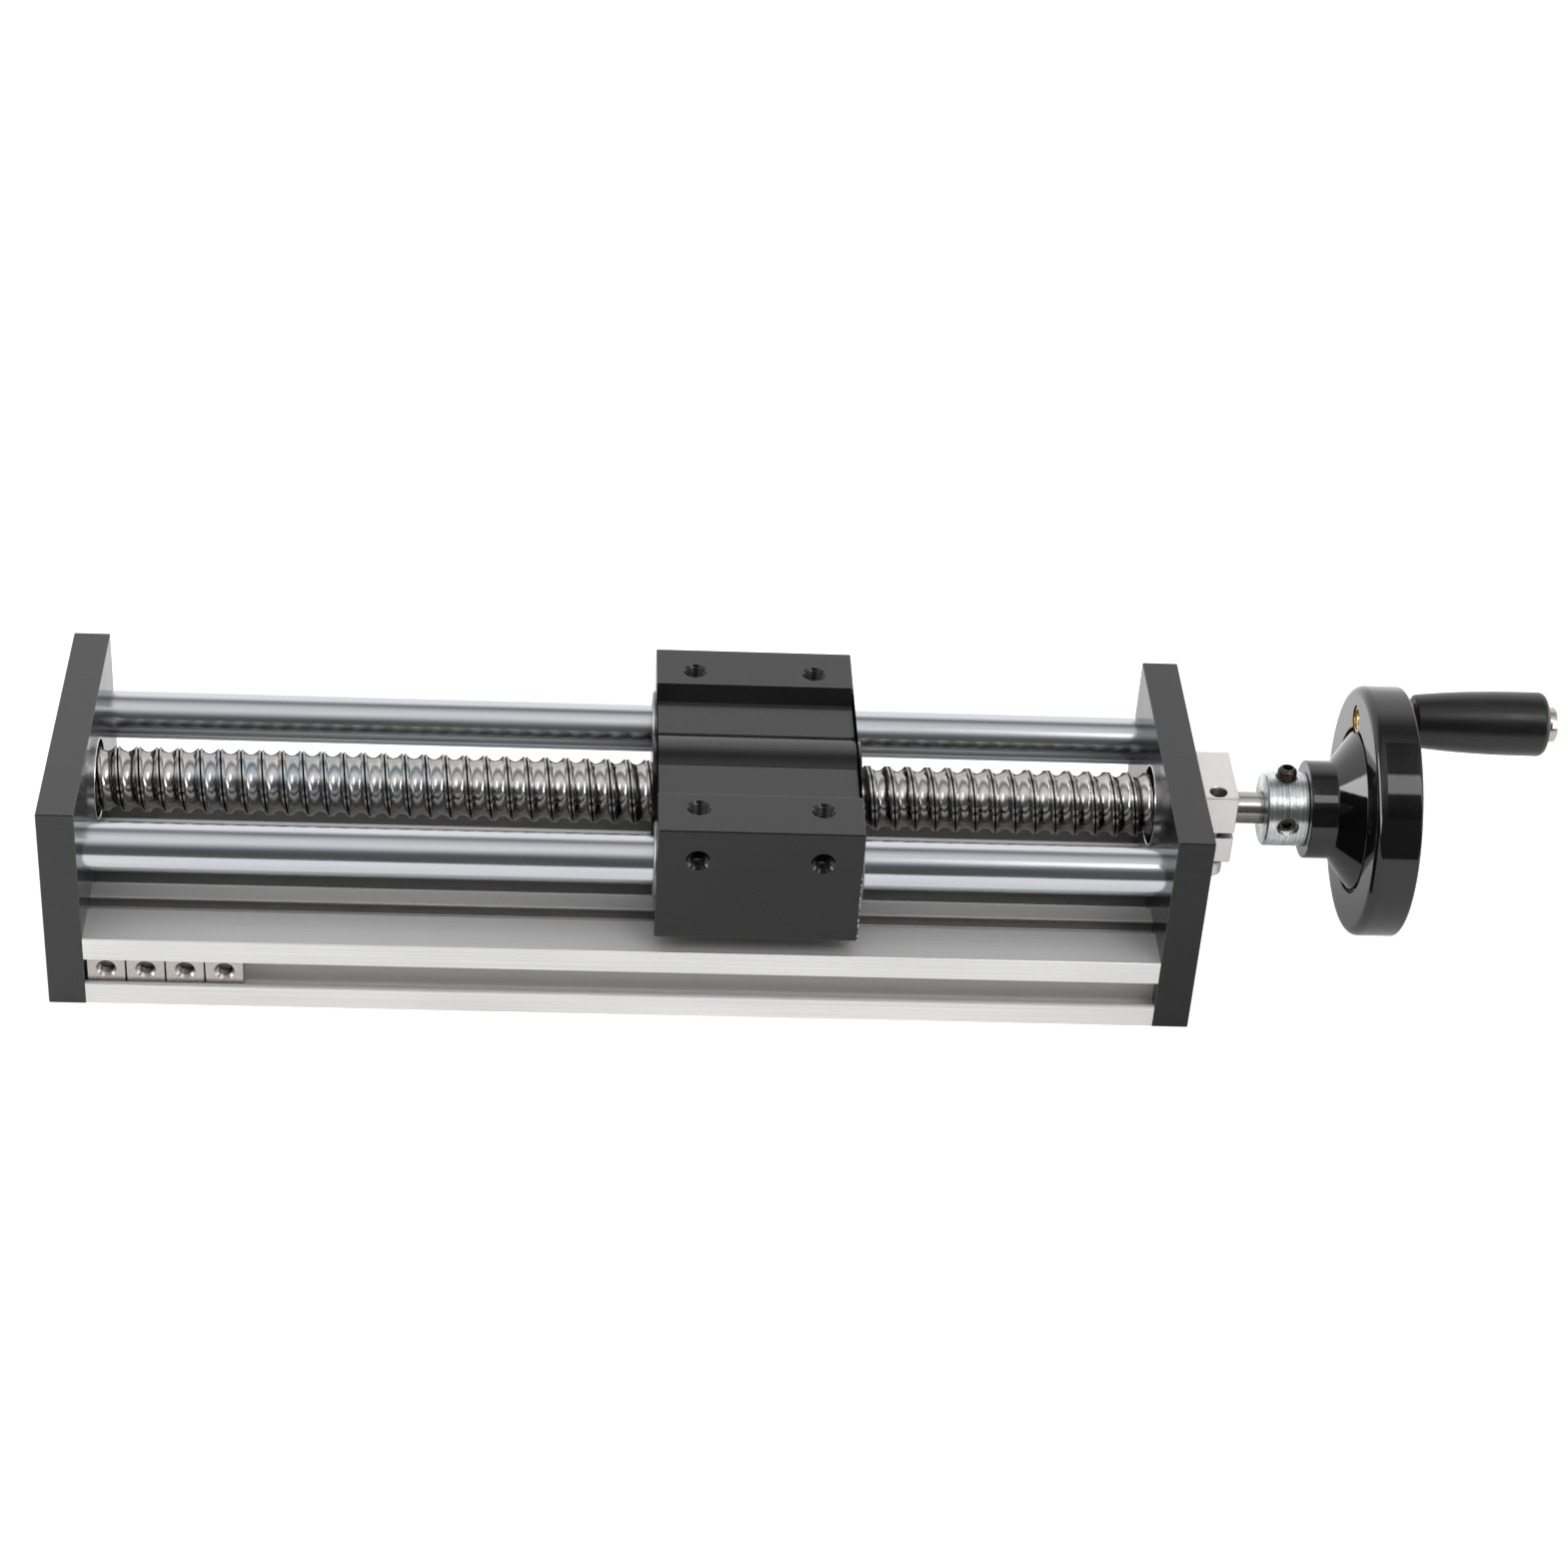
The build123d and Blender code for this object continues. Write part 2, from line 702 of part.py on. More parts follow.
# Threaded insert, washer and bolt of the handle
write_piece(
    make_ring(rim_start, rim_width, insert_radius, insert_core_radius, handle_y, handle_z),
    "handle_insert",
)
write_piece(
    make_ring(
        rim_end,
        handle_washer_length,
        handle_washer_radius,
        handle_shank_radius + thread_gap,
        handle_y,
        handle_z,
    ),
    "handle_washer",
)
with BuildPart() as handle_bolt:
    with BuildSketch(handle_plane):
        with BuildLine():
            Polyline(
                (rim_start + wheel_groove_depth, 0),
                (rim_start + wheel_groove_depth, insert_core_radius - thread_gap),
                (rim_end, insert_core_radius - thread_gap),
                (rim_end, handle_shank_radius),
                (handle_head_x, handle_shank_radius),
                (handle_head_x, handle_head_radius),
                (handle_head_x + handle_head_height, handle_head_radius),
                (handle_head_x + handle_head_height, 0),
                close=True,
            )
        make_face()
    revolve(axis=handle_axis)
    with BuildSketch(Plane.YZ.offset(handle_head_x + handle_head_height)):
        with Locations((handle_y, handle_z)):
            Rectangle(3 * handle_head_radius, handle_slot_width, rotation=handle_slot_lean)
    extrude(amount=-handle_slot_depth, mode=Mode.SUBTRACT)
write_piece(handle_bolt.part, "handle_bolt")

# Grip: a barrel that widens towards its free end and turns on the bolt
with BuildPart() as handle_grip:
    with BuildSketch(handle_plane):
        with BuildLine():
            Polyline(
                (grip_start, handle_shank_radius + rotor_gap),
                (grip_start, grip_start_radius),
                (grip_start + grip_length * grip_taper_share, grip_end_radius),
                (grip_end - grip_end_chamfer, grip_end_radius),
                (grip_end, grip_end_radius - grip_end_chamfer),
                (grip_end, handle_shank_radius + rotor_gap),
                close=True,
            )
        make_face()
    revolve(axis=handle_axis)
write_piece(handle_grip.part, "handle_grip")

# Square nuts lying side by side behind the lips of the front slot
slot_nut_pitch = slot_nut_length + slot_nut_gap
first_nut_x = -half_rail + slot_nut_end_gap + slot_nut_length / 2
slot_nut_height = slot_cavity_width - 2 * slot_nut_side_play
slot_nut_thickness = slot_depth - slot_lip - slot_nut_lip_play - slot_nut_back_play
slot_nut_face_y = -half_width + slot_lip + slot_nut_lip_play
with BuildPart() as slot_nuts:
    for nut_index in range(slot_nut_count):
        nut_plane = Plane(
            origin=(first_nut_x + nut_index * slot_nut_pitch, slot_nut_face_y, side_slot_height),
            x_dir=(1, 0, 0),
            z_dir=(0, -1, 0),
        )
        with BuildSketch(nut_plane):
            Rectangle(slot_nut_length, slot_nut_height)
        extrude(amount=-slot_nut_thickness)
        with Locations(nut_plane):
            CounterSinkHole(
                slot_nut_core_radius,
                slot_nut_core_radius + slot_nut_mouth_chamfer,
                depth=slot_nut_thickness,
                counter_sink_angle=90,
            )
write_piece(slot_nuts.part, "slot_nuts")
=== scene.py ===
import json
from math import asin, cos, pi, radians, sin, sqrt, tan

import bmesh
import bpy
from mathutils import Matrix, Vector


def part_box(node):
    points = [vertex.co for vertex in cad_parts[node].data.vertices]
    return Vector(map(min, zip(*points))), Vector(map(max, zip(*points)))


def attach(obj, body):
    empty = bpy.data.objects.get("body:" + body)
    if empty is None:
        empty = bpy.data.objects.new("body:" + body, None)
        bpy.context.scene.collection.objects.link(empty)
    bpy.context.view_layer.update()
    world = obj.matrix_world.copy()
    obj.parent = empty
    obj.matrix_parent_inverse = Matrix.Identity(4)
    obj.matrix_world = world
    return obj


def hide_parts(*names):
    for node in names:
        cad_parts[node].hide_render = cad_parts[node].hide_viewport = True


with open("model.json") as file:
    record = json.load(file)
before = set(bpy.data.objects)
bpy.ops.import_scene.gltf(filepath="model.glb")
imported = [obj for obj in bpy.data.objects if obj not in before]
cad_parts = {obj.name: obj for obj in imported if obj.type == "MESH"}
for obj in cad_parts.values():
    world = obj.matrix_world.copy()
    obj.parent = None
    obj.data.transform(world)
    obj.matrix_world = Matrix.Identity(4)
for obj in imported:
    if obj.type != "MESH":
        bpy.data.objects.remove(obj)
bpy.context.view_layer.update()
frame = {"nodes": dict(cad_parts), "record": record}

# Row frame: +X along the screw towards the handwheel, +Y to the back, +Z up.
# Shapes are worked out in millimetres and written to the meshes in metres.
MM = 0.001

# Camera, solved on the plates' corners, the rods and the screw's grooves
CAMERA_PLACE = (-18.05, -730.72, 575.45)
CAMERA_TURN = radians(-4.415)
CAMERA_DROP = radians(35.969)
CAMERA_ROLL = radians(4.0785)
CAMERA_LENS = 83.75
CAMERA_SENSOR = 36.0


def box_mm(node):
    """Lowest and highest corner of a CAD node, in millimetres."""
    low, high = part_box(node)
    return low / MM, high / MM


RAIL_HIGH = box_mm("base_rail")[1]
PLATE_OUT = box_mm("right_end_plate")[1].x
BLOCK_LOW, BLOCK_HIGH = box_mm("carriage_block")
NUT_LOW, NUT_HIGH = box_mm("ball_nut")
SCREW_LOW, SCREW_HIGH = box_mm("ball_screw")
CLAMP_LOW, CLAMP_HIGH = box_mm("shaft_clamp_block")
SLEEVE_LOW, SLEEVE_HIGH = box_mm("hub_sleeve")
WHEEL_LOW, WHEEL_HIGH = box_mm("handwheel")
GRIP_LOW, GRIP_HIGH = box_mm("handle_grip")
INSERT_LOW, INSERT_HIGH = box_mm("handle_insert")
WASHER_LOW, WASHER_HIGH = box_mm("handle_washer")
BOLT_LOW, BOLT_HIGH = box_mm("handle_bolt")
SLOT_NUTS_LOW, SLOT_NUTS_HIGH = box_mm("slot_nuts")

HALF_WIDTH = RAIL_HIGH.y
HALF_RAIL = RAIL_HIGH.x
SHAFT_Z = (SCREW_LOW.z + SCREW_HIGH.z) / 2
SCREW_R = (SCREW_HIGH.z - SCREW_LOW.z) / 2
HANDLE_Y = (GRIP_LOW.y + GRIP_HIGH.y) / 2
HANDLE_Z = (GRIP_LOW.z + GRIP_HIGH.z) / 2
CARRIAGE_X = (BLOCK_LOW.x + BLOCK_HIGH.x) / 2
CLAMP_X = (CLAMP_LOW.x + CLAMP_HIGH.x) / 2

AXIS = (0, 0, SHAFT_Z)
HANDLE_AXIS = (0, HANDLE_Y, HANDLE_Z)
ALONG_X = (1, 0, 0)
UP, DOWN = (0, 0, 1), (0, 0, -1)
ENDS = (("left", -1), ("right", 1))
RODS = ("front_guide_rod", "rear_guide_rod")

# Rail section
SLOT_MOUTH = 7.0
SLOT_LIP = 1.3
SLOT_DEPTH = 4.5
SLOT_CAVITY = 11.0
SLOT_CORNER = 0.5
SIDE_SLOT_Z = 10.0
BOTTOM_SLOT_Y = 20.0
# Top grooves: place of the middle along Y, width and depth
GROOVES = ((23.9, 4.35, 3.2), (13.35, 5.5, 4.2))
RAIL_CORNER = 0.45

# Carriage
PAD_WIDTH = 15.1
STEP_RUN = 3.6
STEP_DROP = 3.5
BULGE_R = 15.1
BULGE_FOOT = 1.0
BLOCK_EDGE = 0.35
HOLE_HALF_X = 15.0
HOLE_HALF_Y = 29.0
HOLE_DEPTH = 6.5
SIDE_HOLE_DROP = 8.7
SIDE_HOLE_DEPTH = 3.6
MOUTH = 0.45
FOOT_STEPS, BULGE_STEPS = 6, 28

# Ball screw thread: right-hand, round grooves with a double-ridged land between them
LEAD = 5.0
GROOVE_HALF = 1.85
GROOVE_DEPTH = 1.22
LAND_DIP = 0.5
NOTCH_HALF = 0.24
ARCH_SHIFT = 0.3
RIDGE_EASE = 0.12
GROOVE_X = 0.88
THREAD_GAP = 0.7
THREAD_CHAMFER = 0.15
NECK_R = 5.9
JOURNAL_R = 4.0

# Round fits
BORE_PLAY = 0.02
ROD_R = 6.0
ROD_PLAY = 0.03
ROD_EASE = 0.8
BUSH_R = 9.5
BUSH_LENGTH = 15.0
NUT_SEAT_R = 10.5
NUT_SEAT_DEPTH = 2.0
NUT_PLAY = 0.07
WIPER_PLAY = 0.3
BEARING_WIDTH = 7.0
BEARING_R = 11.0
LAND_R = 8.95
RACE_R = 5.8
# Usual break of a turned edge
EASE = 0.35

# Bright ring round each plate's bore
RING_LOW = 9.7
RING_HIGH = 10.3
RING_OUT = 1.0
RING_EASE = 0.15

# Low-head screws in the plates
HEAD_R = 4.5
HEAD_HEIGHT = 2.0
HEAD_SHANK_R = 2.02
INNER_SCREW_Y = 7.0
SOCKET_R = 1.73

# Shaft clamp
CLAMP_SCREW_Y = -7.4
SLIT_DROP = 1.6
SLIT_HALF = 0.85
CLAMP_CLEAR_R = 2.25
CLAMP_HEAD_R = 3.5

# Sleeve, and its set screws: how far their tips are from the shaft's axis, and their lean
SLEEVE_SHANK_R = 7.0
SET_HOLE_CORE = 2.16
TOP_TIP_R = 11.85
FRONT_TIP_R = 7.75
SET_LEAN = radians(5.5)

# Handwheel: hub, cone, ring groove and the recess in its back
WHEEL_BORE_R = 7.02
HUB_R = 12.3
HUB_LENGTH = 6.6
CONE_R = 19.8
RING_GROOVE_R = 20.9
RING_GROOVE_DEPTH = 2.5
RECESS_R = 15.0
RECESS_DEPTH = 3.0
INSERT_HOLE_R = 3.52

# Handle
INSERT_CORE = 2.5
INSERT_DROP = 0.3
INSERT_PITCH = 1.0
WASHER_BORE_R = 2.95
BOLT_HEAD = 2.4
BOLT_SLOT_WIDTH = 2.0
BOLT_SLOT_DEPTH = 1.6
BOLT_SLOT_LEAN = radians(-35)
BOLT_SHANK_R = 2.9
GRIP_BORE_R = 3.2
GRIP_NECK_R = 6.6
GRIP_STEPS = 24
# Share of the grip's length over which it swells, and the power of the swelling
GRIP_BOW, GRIP_POWER = 0.84, 2.2

# Slot nuts
NUT_STEP = 9.5
NUT_GAP = 0.25
NUT_THREAD_DEPTH = 4.0

# Metric threads
M5_CORE, M5_R, M5_PITCH = M5 = (2.1, 2.5, 0.8)
M4_CORE, M4_R, M4_PITCH = M4 = (1.65, 2.0, 0.7)

# Turn in radians that counts as one cell of the rings' noise
TURN_CELL = 9.0

# Floor: half size and front edge in metres, drop in millimetres, glow for the camera and in mirrors
FLOOR_SIZE = 6.0
FLOOR_FRONT = -0.36
FLOOR_DROP = 0.02
FLOOR_GLOW = 0.78
FLOOR_MIRRORED = 0.40
# The wheel's shade in the mirrored floor: distance in millimetres from its place, and the share left
FLOOR_SHADE_X = 178.0
FLOOR_SHADE = (12.0, 90.0, 0.30, 1.0)
# Brighter floor behind the object: distance along Y and the share
FLOOR_BEHIND = (45.0, 110.0, 1.0, 1.3)

# Studio light by its height around the object's long axis: degrees from straight up,
# negative behind the object and positive towards the camera, with the light's level
STUDIO = (
    (-180, 1.0), (-50, 1.15), (-40, 0.72), (-31, 0.30), (-22, 0.27), (-14, 0.50), (-3, 0.76), (8, 0.90),
    (26, 0.95), (34, 0.74), (42, 0.50), (50, 0.26), (58, 0.12), (100, 0.10), (140, 0.10), (180, 0.95),
)

# Softboxes: lowest and highest direction along X, Y and Z, with the softbox's level
SOFTBOXES = (
    ((-1.1, -0.55), (-0.50, 0.42), (0.02, 0.24), 6.5),
    ((0.55, 1.1), (-0.50, 0.42), (0.02, 0.24), 4.0),
    ((0.17, 0.60), (-0.60, -0.34), (0.50, 1.1), 3.1),
)
SOFTBOX_COLOR = (1.0, 0.985, 0.98)
SOFT = 0.012

# Dark panel to the right of the camera: the same ranges, the share of light it takes
# and how softly its sides end along X
PANEL = ((0.205, 0.240), (-0.85, 0.20), (0.30, 1.1))
PANEL_TAKES = 0.68
PANEL_SOFT = 0.01


# Shapes


def rounded(corners, default=0.0, steps=4):
    """Loop of (u, v) points from corners (u, v) or (u, v, radius), with arcs at the corners."""
    points = []
    count = len(corners)
    for index, corner in enumerate(corners):
        here = Vector(corner[:2])
        radius = corner[2] if len(corner) > 2 else default
        before = Vector(corners[index - 1][:2]) - here
        after = Vector(corners[(index + 1) % count][:2]) - here
        bend = before.angle(after, pi)
        if radius <= 0 or bend > radians(178) or bend < radians(2):
            points.append(here)
            continue
        reach = min(radius / tan(bend / 2), before.length * 0.49, after.length * 0.49)
        radius = reach * tan(bend / 2)
        inwards = (before.normalized() + after.normalized()).normalized()
        middle = here + inwards * (radius / sin(bend / 2))
        start = here + before.normalized() * reach - middle
        end = here + after.normalized() * reach - middle
        sweep = start.angle_signed(end)
        for step in range(steps + 1):
            angle = -sweep * step / steps
            across = start.x * cos(angle) - start.y * sin(angle)
            upwards = start.x * sin(angle) + start.y * cos(angle)
            points.append(middle + Vector((across, upwards)))
    return points


def inset(loop, amount):
    """The loop moved inwards by an amount; the loop runs counter-clockwise."""
    moved = []
    for index, here in enumerate(loop):
        before = (here - loop[index - 1]).normalized()
        after = (loop[(index + 1) % len(loop)] - here).normalized()
        inward = Vector((-before.y - after.y, before.x + after.x))
        if inward.length < 1e-6:
            moved.append(here.copy())
            continue
        inward.normalize()
        miter = max(inward.dot(Vector((-before.y, before.x))), 0.5)
        moved.append(here + inward * (amount / miter))
    return moved


def linked(name, data):
    """New object in the scene."""
    piece = bpy.data.objects.new(name, data)
    bpy.context.scene.collection.objects.link(piece)
    return piece


def solid(name, points, faces, origin=(0, 0, 0), direction=ALONG_X):
    """Mesh object from points in millimetres; its own +X is turned to the direction."""
    turn = Vector(ALONG_X).rotation_difference(Vector(direction)).to_matrix().to_4x4()
    to_world = Matrix.Scale(MM, 4) @ Matrix.Translation(origin) @ turn
    mesh = bpy.data.meshes.new(name)
    mesh.from_pydata([to_world @ Vector(point) for point in points], [], faces)
    form = bmesh.new()
    form.from_mesh(mesh)
    bmesh.ops.remove_doubles(form, verts=form.verts, dist=2e-4 * MM)
    bmesh.ops.dissolve_degenerate(form, edges=form.edges, dist=1e-4 * MM)
    bmesh.ops.recalc_face_normals(form, faces=form.faces)
    form.to_mesh(mesh)
    form.free()
    return linked(name, mesh)


def circle(along, radius, count):
    """Points around the X axis."""
    angles = [2 * pi * step / count for step in range(count)]
    return [(along, radius * cos(angle), radius * sin(angle)) for angle in angles]


def turned(name, profile, origin=AXIS, direction=ALONG_X, steps=128):
    """Solid turned from a loop of (place along the axis, radius) points."""
    points, rings, faces = [], [], []
    for along, radius in profile:
        count = steps if radius > 1e-6 else 1
        rings.append(range(len(points), len(points) + count))
        points.extend(circle(along, radius, count))
    for ring, after in zip(rings, rings[1:] + rings[:1]):
        if len(ring) == len(after) == 1:
            continue
        for step in range(steps):
            follow = (step + 1) % steps
            if len(ring) == 1:
                faces.append((ring[0], after[step], after[follow]))
            elif len(after) == 1:
                faces.append((ring[step], ring[follow], after[0]))
            else:
                faces.append((ring[step], ring[follow], after[follow], after[step]))
    return solid(name, points, faces, origin, direction)


def eased(start, end, inner, outer, ease, drop=None):
    """Profile of a ring or rod with its outer edges broken: so long, and so deep if that differs."""
    drop = ease if drop is None else drop
    step = ease if end > start else -ease
    return [
        (start, inner), (start, outer - drop), (start + step, outer),
        (end - step, outer), (end, outer - drop), (end, inner),
    ]


def threaded(name, radius_at, start, end, lead, head=(), tail=(), rows=10, steps=48,
             origin=AXIS, direction=ALONG_X, shares=None):
    """Solid whose side follows a helix; head and tail are (place, radius) rings before and after.

    The rows of one turn lie evenly, or at the given shares of the lead."""
    shares = shares or [row / rows for row in range(rows)]
    rows = len(shares)
    points, rings, faces = [], [], []

    def add_ring(ring_points):
        rings.append(range(len(points), len(points) + steps))
        points.extend(ring_points)

    for along, radius in head:
        add_ring(circle(along, radius, steps))
    row_count = int((end - start) / lead * rows) + rows + 1
    for row in range(row_count + 1):
        ring_points = []
        for step in range(steps):
            angle = 2 * pi * step / steps
            along = start + lead * (row // rows + shares[row % rows] + step / steps - 1)
            along = min(max(along, start), end)
            radius = radius_at(along, angle)
            ring_points.append((along, radius * cos(angle), radius * sin(angle)))
        add_ring(ring_points)
    thread_first = len(head)
    thread_last = len(rings) - 1
    for along, radius in tail:
        add_ring(circle(along, radius, steps))
    for index, (near, far) in enumerate(zip(rings, rings[1:])):
        next_near, next_far = near[0], far[0]
        if thread_first <= index < thread_last:
            # The last step meets the first one of a whole turn later
            next_near = rings[min(index + rows, thread_last)][0]
            next_far = rings[min(index + 1 + rows, thread_last)][0]
        for step in range(steps - 1):
            faces.append((near[step], near[step + 1], far[step + 1], far[step]))
        faces.append((near[-1], next_near, next_far, far[-1]))
    faces.append(tuple(rings[0]))
    faces.append(tuple(reversed(rings[-1])))
    return solid(name, points, faces, origin, direction)


def extruded(name, loop, start, end, edge=0.0, steps=3):
    """Solid along X with the (y, z) loop as its section and rounded edges at both ends."""
    sections = [(start, 0.0), (end, 0.0)]
    if edge > 0:
        turn = [radians(90 * step / steps) for step in range(steps + 1)]
        near = [(start + edge * (1 - cos(a)), edge * (1 - sin(a))) for a in turn]
        far = [(end - edge * (1 - cos(a)), edge * (1 - sin(a))) for a in reversed(turn)]
        sections = near + far
    points, faces = [], []
    count = len(loop)
    for along, amount in sections:
        ring = inset(loop, amount) if amount > 1e-6 else loop
        points.extend((along, point.x, point.y) for point in ring)
    for level in range(len(sections) - 1):
        for index in range(count):
            a = level * count + index
            b = level * count + (index + 1) % count
            faces.append((a, b, b + count, a + count))
    faces.append(tuple(range(count - 1, -1, -1)))
    faces.append(tuple(range(len(points) - count, len(points))))
    return solid(name, points, faces)


def block(name, low, high, edge, steps=3):
    """Box between two corners with rounded edges."""
    corners = [(low[1], low[2]), (high[1], low[2]), (high[1], high[2]), (low[1], high[2])]
    loop = rounded(corners, 1.4 * edge, steps)
    return extruded(name, loop, low[0], high[0], edge, steps)


def cut(piece, *tools):
    """Take the tools' space out of the piece and remove the tools."""
    for tool in tools:
        modifier = piece.modifiers.new("cut", "BOOLEAN")
        modifier.operation = "DIFFERENCE"
        modifier.solver = "EXACT"
        modifier.object = tool
        graph = bpy.context.evaluated_depsgraph_get()
        mesh = bpy.data.meshes.new_from_object(piece.evaluated_get(graph))
        piece.modifiers.clear()
        piece.data = mesh
        bpy.data.objects.remove(tool)
    return piece


def joined(name, pieces):
    """One object from several."""
    form = bmesh.new()
    for piece in pieces:
        form.from_mesh(piece.data)
    mesh = bpy.data.meshes.new(name)
    form.to_mesh(mesh)
    form.free()
    for piece in pieces:
        bpy.data.objects.remove(piece)
    return linked(name, mesh)


def thread_radius(core, outer, pitch):
    """Radius of a plain V thread at a place and angle."""
    def radius_at(along, angle):
        phase = (along / pitch - angle / (2 * pi)) % 1.0
        return core + (outer - core) * min(1.0, 1.6 * (1 - abs(2 * phase - 1)))
    return radius_at


def hole_tool(name, origin, direction, thread, depth, mouth):
    """Tool for a tapped hole: direction points into the material."""
    core, outer, pitch = thread
    wide = outer + mouth
    form = thread_radius(core, outer, pitch)

    def radius_at(along, angle):
        return max(form(along, angle), wide - along) if along < wide - core else form(along, angle)

    head = [(-0.4, wide), (0.0, wide)]
    tip = [(depth + core * 0.3, core * 0.5), (depth + core * 0.58, core * 0.05)]
    return threaded(name, radius_at, 0.01, depth, pitch, head, tip, 8, 48, origin, direction)


def hex_tool(origin, direction, corner_radius, depth):
    """Tool for a hexagon socket: direction points into the material."""
    profile = [(-0.5, 0), (-0.5, corner_radius), (depth, corner_radius), (depth + 0.5, 0)]
    return turned("socket", profile, origin, direction, 6)


def round_tool(name, start, end, radius, y=0.0, z=SHAFT_Z):
    """Plain round tool along X."""
    return turned(name, [(start, 0), (start, radius), (end, radius), (end, 0)], (0, y, z))


# Shader parts


class Tree:
    """Short ways to add nodes. A value is a number, a colour or another node's socket."""

    def __init__(self, tree):
        self.nodes, self.links = tree.nodes, tree.links

    def give(self, socket, value):
        """Set an input, or link another node's socket to it."""
        if isinstance(value, bpy.types.NodeSocket):
            self.links.new(value, socket)
        elif socket.type == "RGBA":
            socket.default_value = (*value, 1)
        else:
            socket.default_value = value

    def add(self, kind, inputs=()):
        """New node, with values for its inputs by name or number."""
        node = self.nodes.new("ShaderNode" + kind)
        for key, value in dict(inputs).items():
            self.give(node.inputs[key], value)
        return node

    def math(self, operation, *values, clamp=False):
        """Result of one arithmetic node."""
        node = self.add("Math")
        node.operation = operation
        node.use_clamp = clamp
        for socket, value in zip(node.inputs, values):
            self.give(socket, value)
        return node.outputs[0]

    def plus(self, first, second):
        """Sum of two values."""
        return self.math("ADD", first, second)

    def minus(self, first, second):
        """First without second."""
        return self.math("SUBTRACT", first, second)

    def size(self, value):
        """The value without its sign."""
        return self.math("ABSOLUTE", value)

    def times(self, product, *factors):
        """Product of all values."""
        for factor in factors:
            product = self.math("MULTIPLY", product, factor)
        return product

    def mean(self, first, second, share):
        """First by its share and second by the rest."""
        return self.plus(self.times(first, share), self.times(second, 1 - share))

    def distance(self, across, upwards):
        """Length of a line that goes so far across and up."""
        return self.math("SQRT", self.math("MULTIPLY_ADD", across, across, self.times(upwards, upwards)))

    def spread(self, value, low, high, to_low, to_high):
        """Value mapped from one range to another and held inside it."""
        ranges = {"Value": value, "From Min": low, "From Max": high, "To Min": to_low, "To Max": to_high}
        return self.add("MapRange", ranges).outputs["Result"]

    def rise(self, value, low, high):
        """From 0 at low to 1 at high."""
        return self.spread(value, low, high, 0.0, 1.0)

    def fall(self, value, low, high):
        """From 1 at low to 0 at high."""
        return self.spread(value, low, high, 1.0, 0.0)

    def split(self, vector):
        """X, Y and Z of a vector."""
        return self.add("SeparateXYZ", {0: vector}).outputs[:]

    def cells(self, *sizes):
        """Object coordinates measured in cells of the given sizes in millimetres."""
        coordinates = self.add("TexCoord").outputs["Object"]
        scale = [1 / (cell * MM) for cell in sizes]
        return self.add("Mapping", {"Vector": coordinates, "Scale": scale}).outputs["Vector"]

    def position(self):
        """X, Y and Z in millimetres."""
        return self.split(self.cells(1, 1, 1))

    def ring_cells(self, width, centre):
        """Coordinates of a turned piece in rings of a width: along its axis, out from it and around."""
        x, y, z = self.position()
        y, z = self.minus(y, centre[0]), self.minus(z, centre[1])
        turn = self.times(self.math("ARCTAN2", y, z), 1 / TURN_CELL)
        rings = (self.times(x, 1 / width), self.times(self.distance(y, z), 1 / width), turn)
        return self.add("CombineXYZ", enumerate(rings)).outputs[0]

    def noise(self, cells, detail=3.0, rough=0.5):
        """Noise from 0 to 1; cells are sizes in millimetres or ready coordinates."""
        vector = self.cells(*cells) if isinstance(cells, tuple) else cells
        inputs = {"Vector": vector, "Scale": 1.0, "Detail": detail, "Roughness": rough}
        return self.add("TexNoise", inputs).outputs["Fac"]

    def specks(self, cell, share, size):
        """Sparse small spots: 1 on a spot and 0 elsewhere."""
        spots = self.add("TexVoronoi", {"Vector": self.cells(cell, cell, cell), "Scale": 1.0}).outputs
        near = self.math("LESS_THAN", spots["Distance"], size / cell)
        draw = self.add("SeparateColor", {0: spots["Color"]}).outputs[0]
        return self.times(near, self.math("LESS_THAN", draw, share))

    def ramp(self, value, stops):
        """Colour ramp with (place, colour) stops."""
        node = self.add("ValToRGB", {"Fac": value})
        elements = node.color_ramp.elements
        while len(elements) < len(stops):
            elements.new(0.5)
        for element, (at, color) in zip(elements, stops):
            element.position = at
            element.color = (*color, 1)
        return node.outputs["Color"]

    def blend(self, share, first, second):
        """Mix of two colours by a share."""
        node = self.add("Mix")
        node.data_type = "RGBA"
        for index, value in ((6, first), (7, second), (0, share)):
            self.give(node.inputs[index], value)
        return node.outputs[2]


class Look(Tree):
    """A material in the making, around its shader."""

    def __init__(self, name, color, metallic, roughness):
        self.name, self.color = name, color
        self.material = bpy.data.materials.new(name)
        self.material.use_nodes = True
        super().__init__(self.material.node_tree)
        self.wear({"Base Color": color, "Metallic": metallic, "Roughness": roughness})

    def wear(self, inputs):
        """Give values to the shader's inputs."""
        for key, value in inputs.items():
            self.give(self.nodes["Principled BSDF"].inputs[key], value)

    def shade(self, value, low, high, contrast):
        """The material's colour, darker at low and lighter at high by the contrast."""
        dark, light = (tuple(c * (1 + side * contrast) for c in self.color) for side in (-1, 1))
        return self.ramp(value, [(low, dark), (high, light)])

    def normal(self, kind="Normal"):
        """X, Y and Z of the surface's normal."""
        return self.split(self.add("NewGeometry").outputs[kind])

    def bump(self, heights, distance):
        """Bumps from a height, with the distance in millimetres."""
        inputs = {"Height": heights, "Distance": distance * MM, "Strength": 1.0}
        self.wear({"Normal": self.add("Bump", inputs).outputs["Normal"]})


# Materials


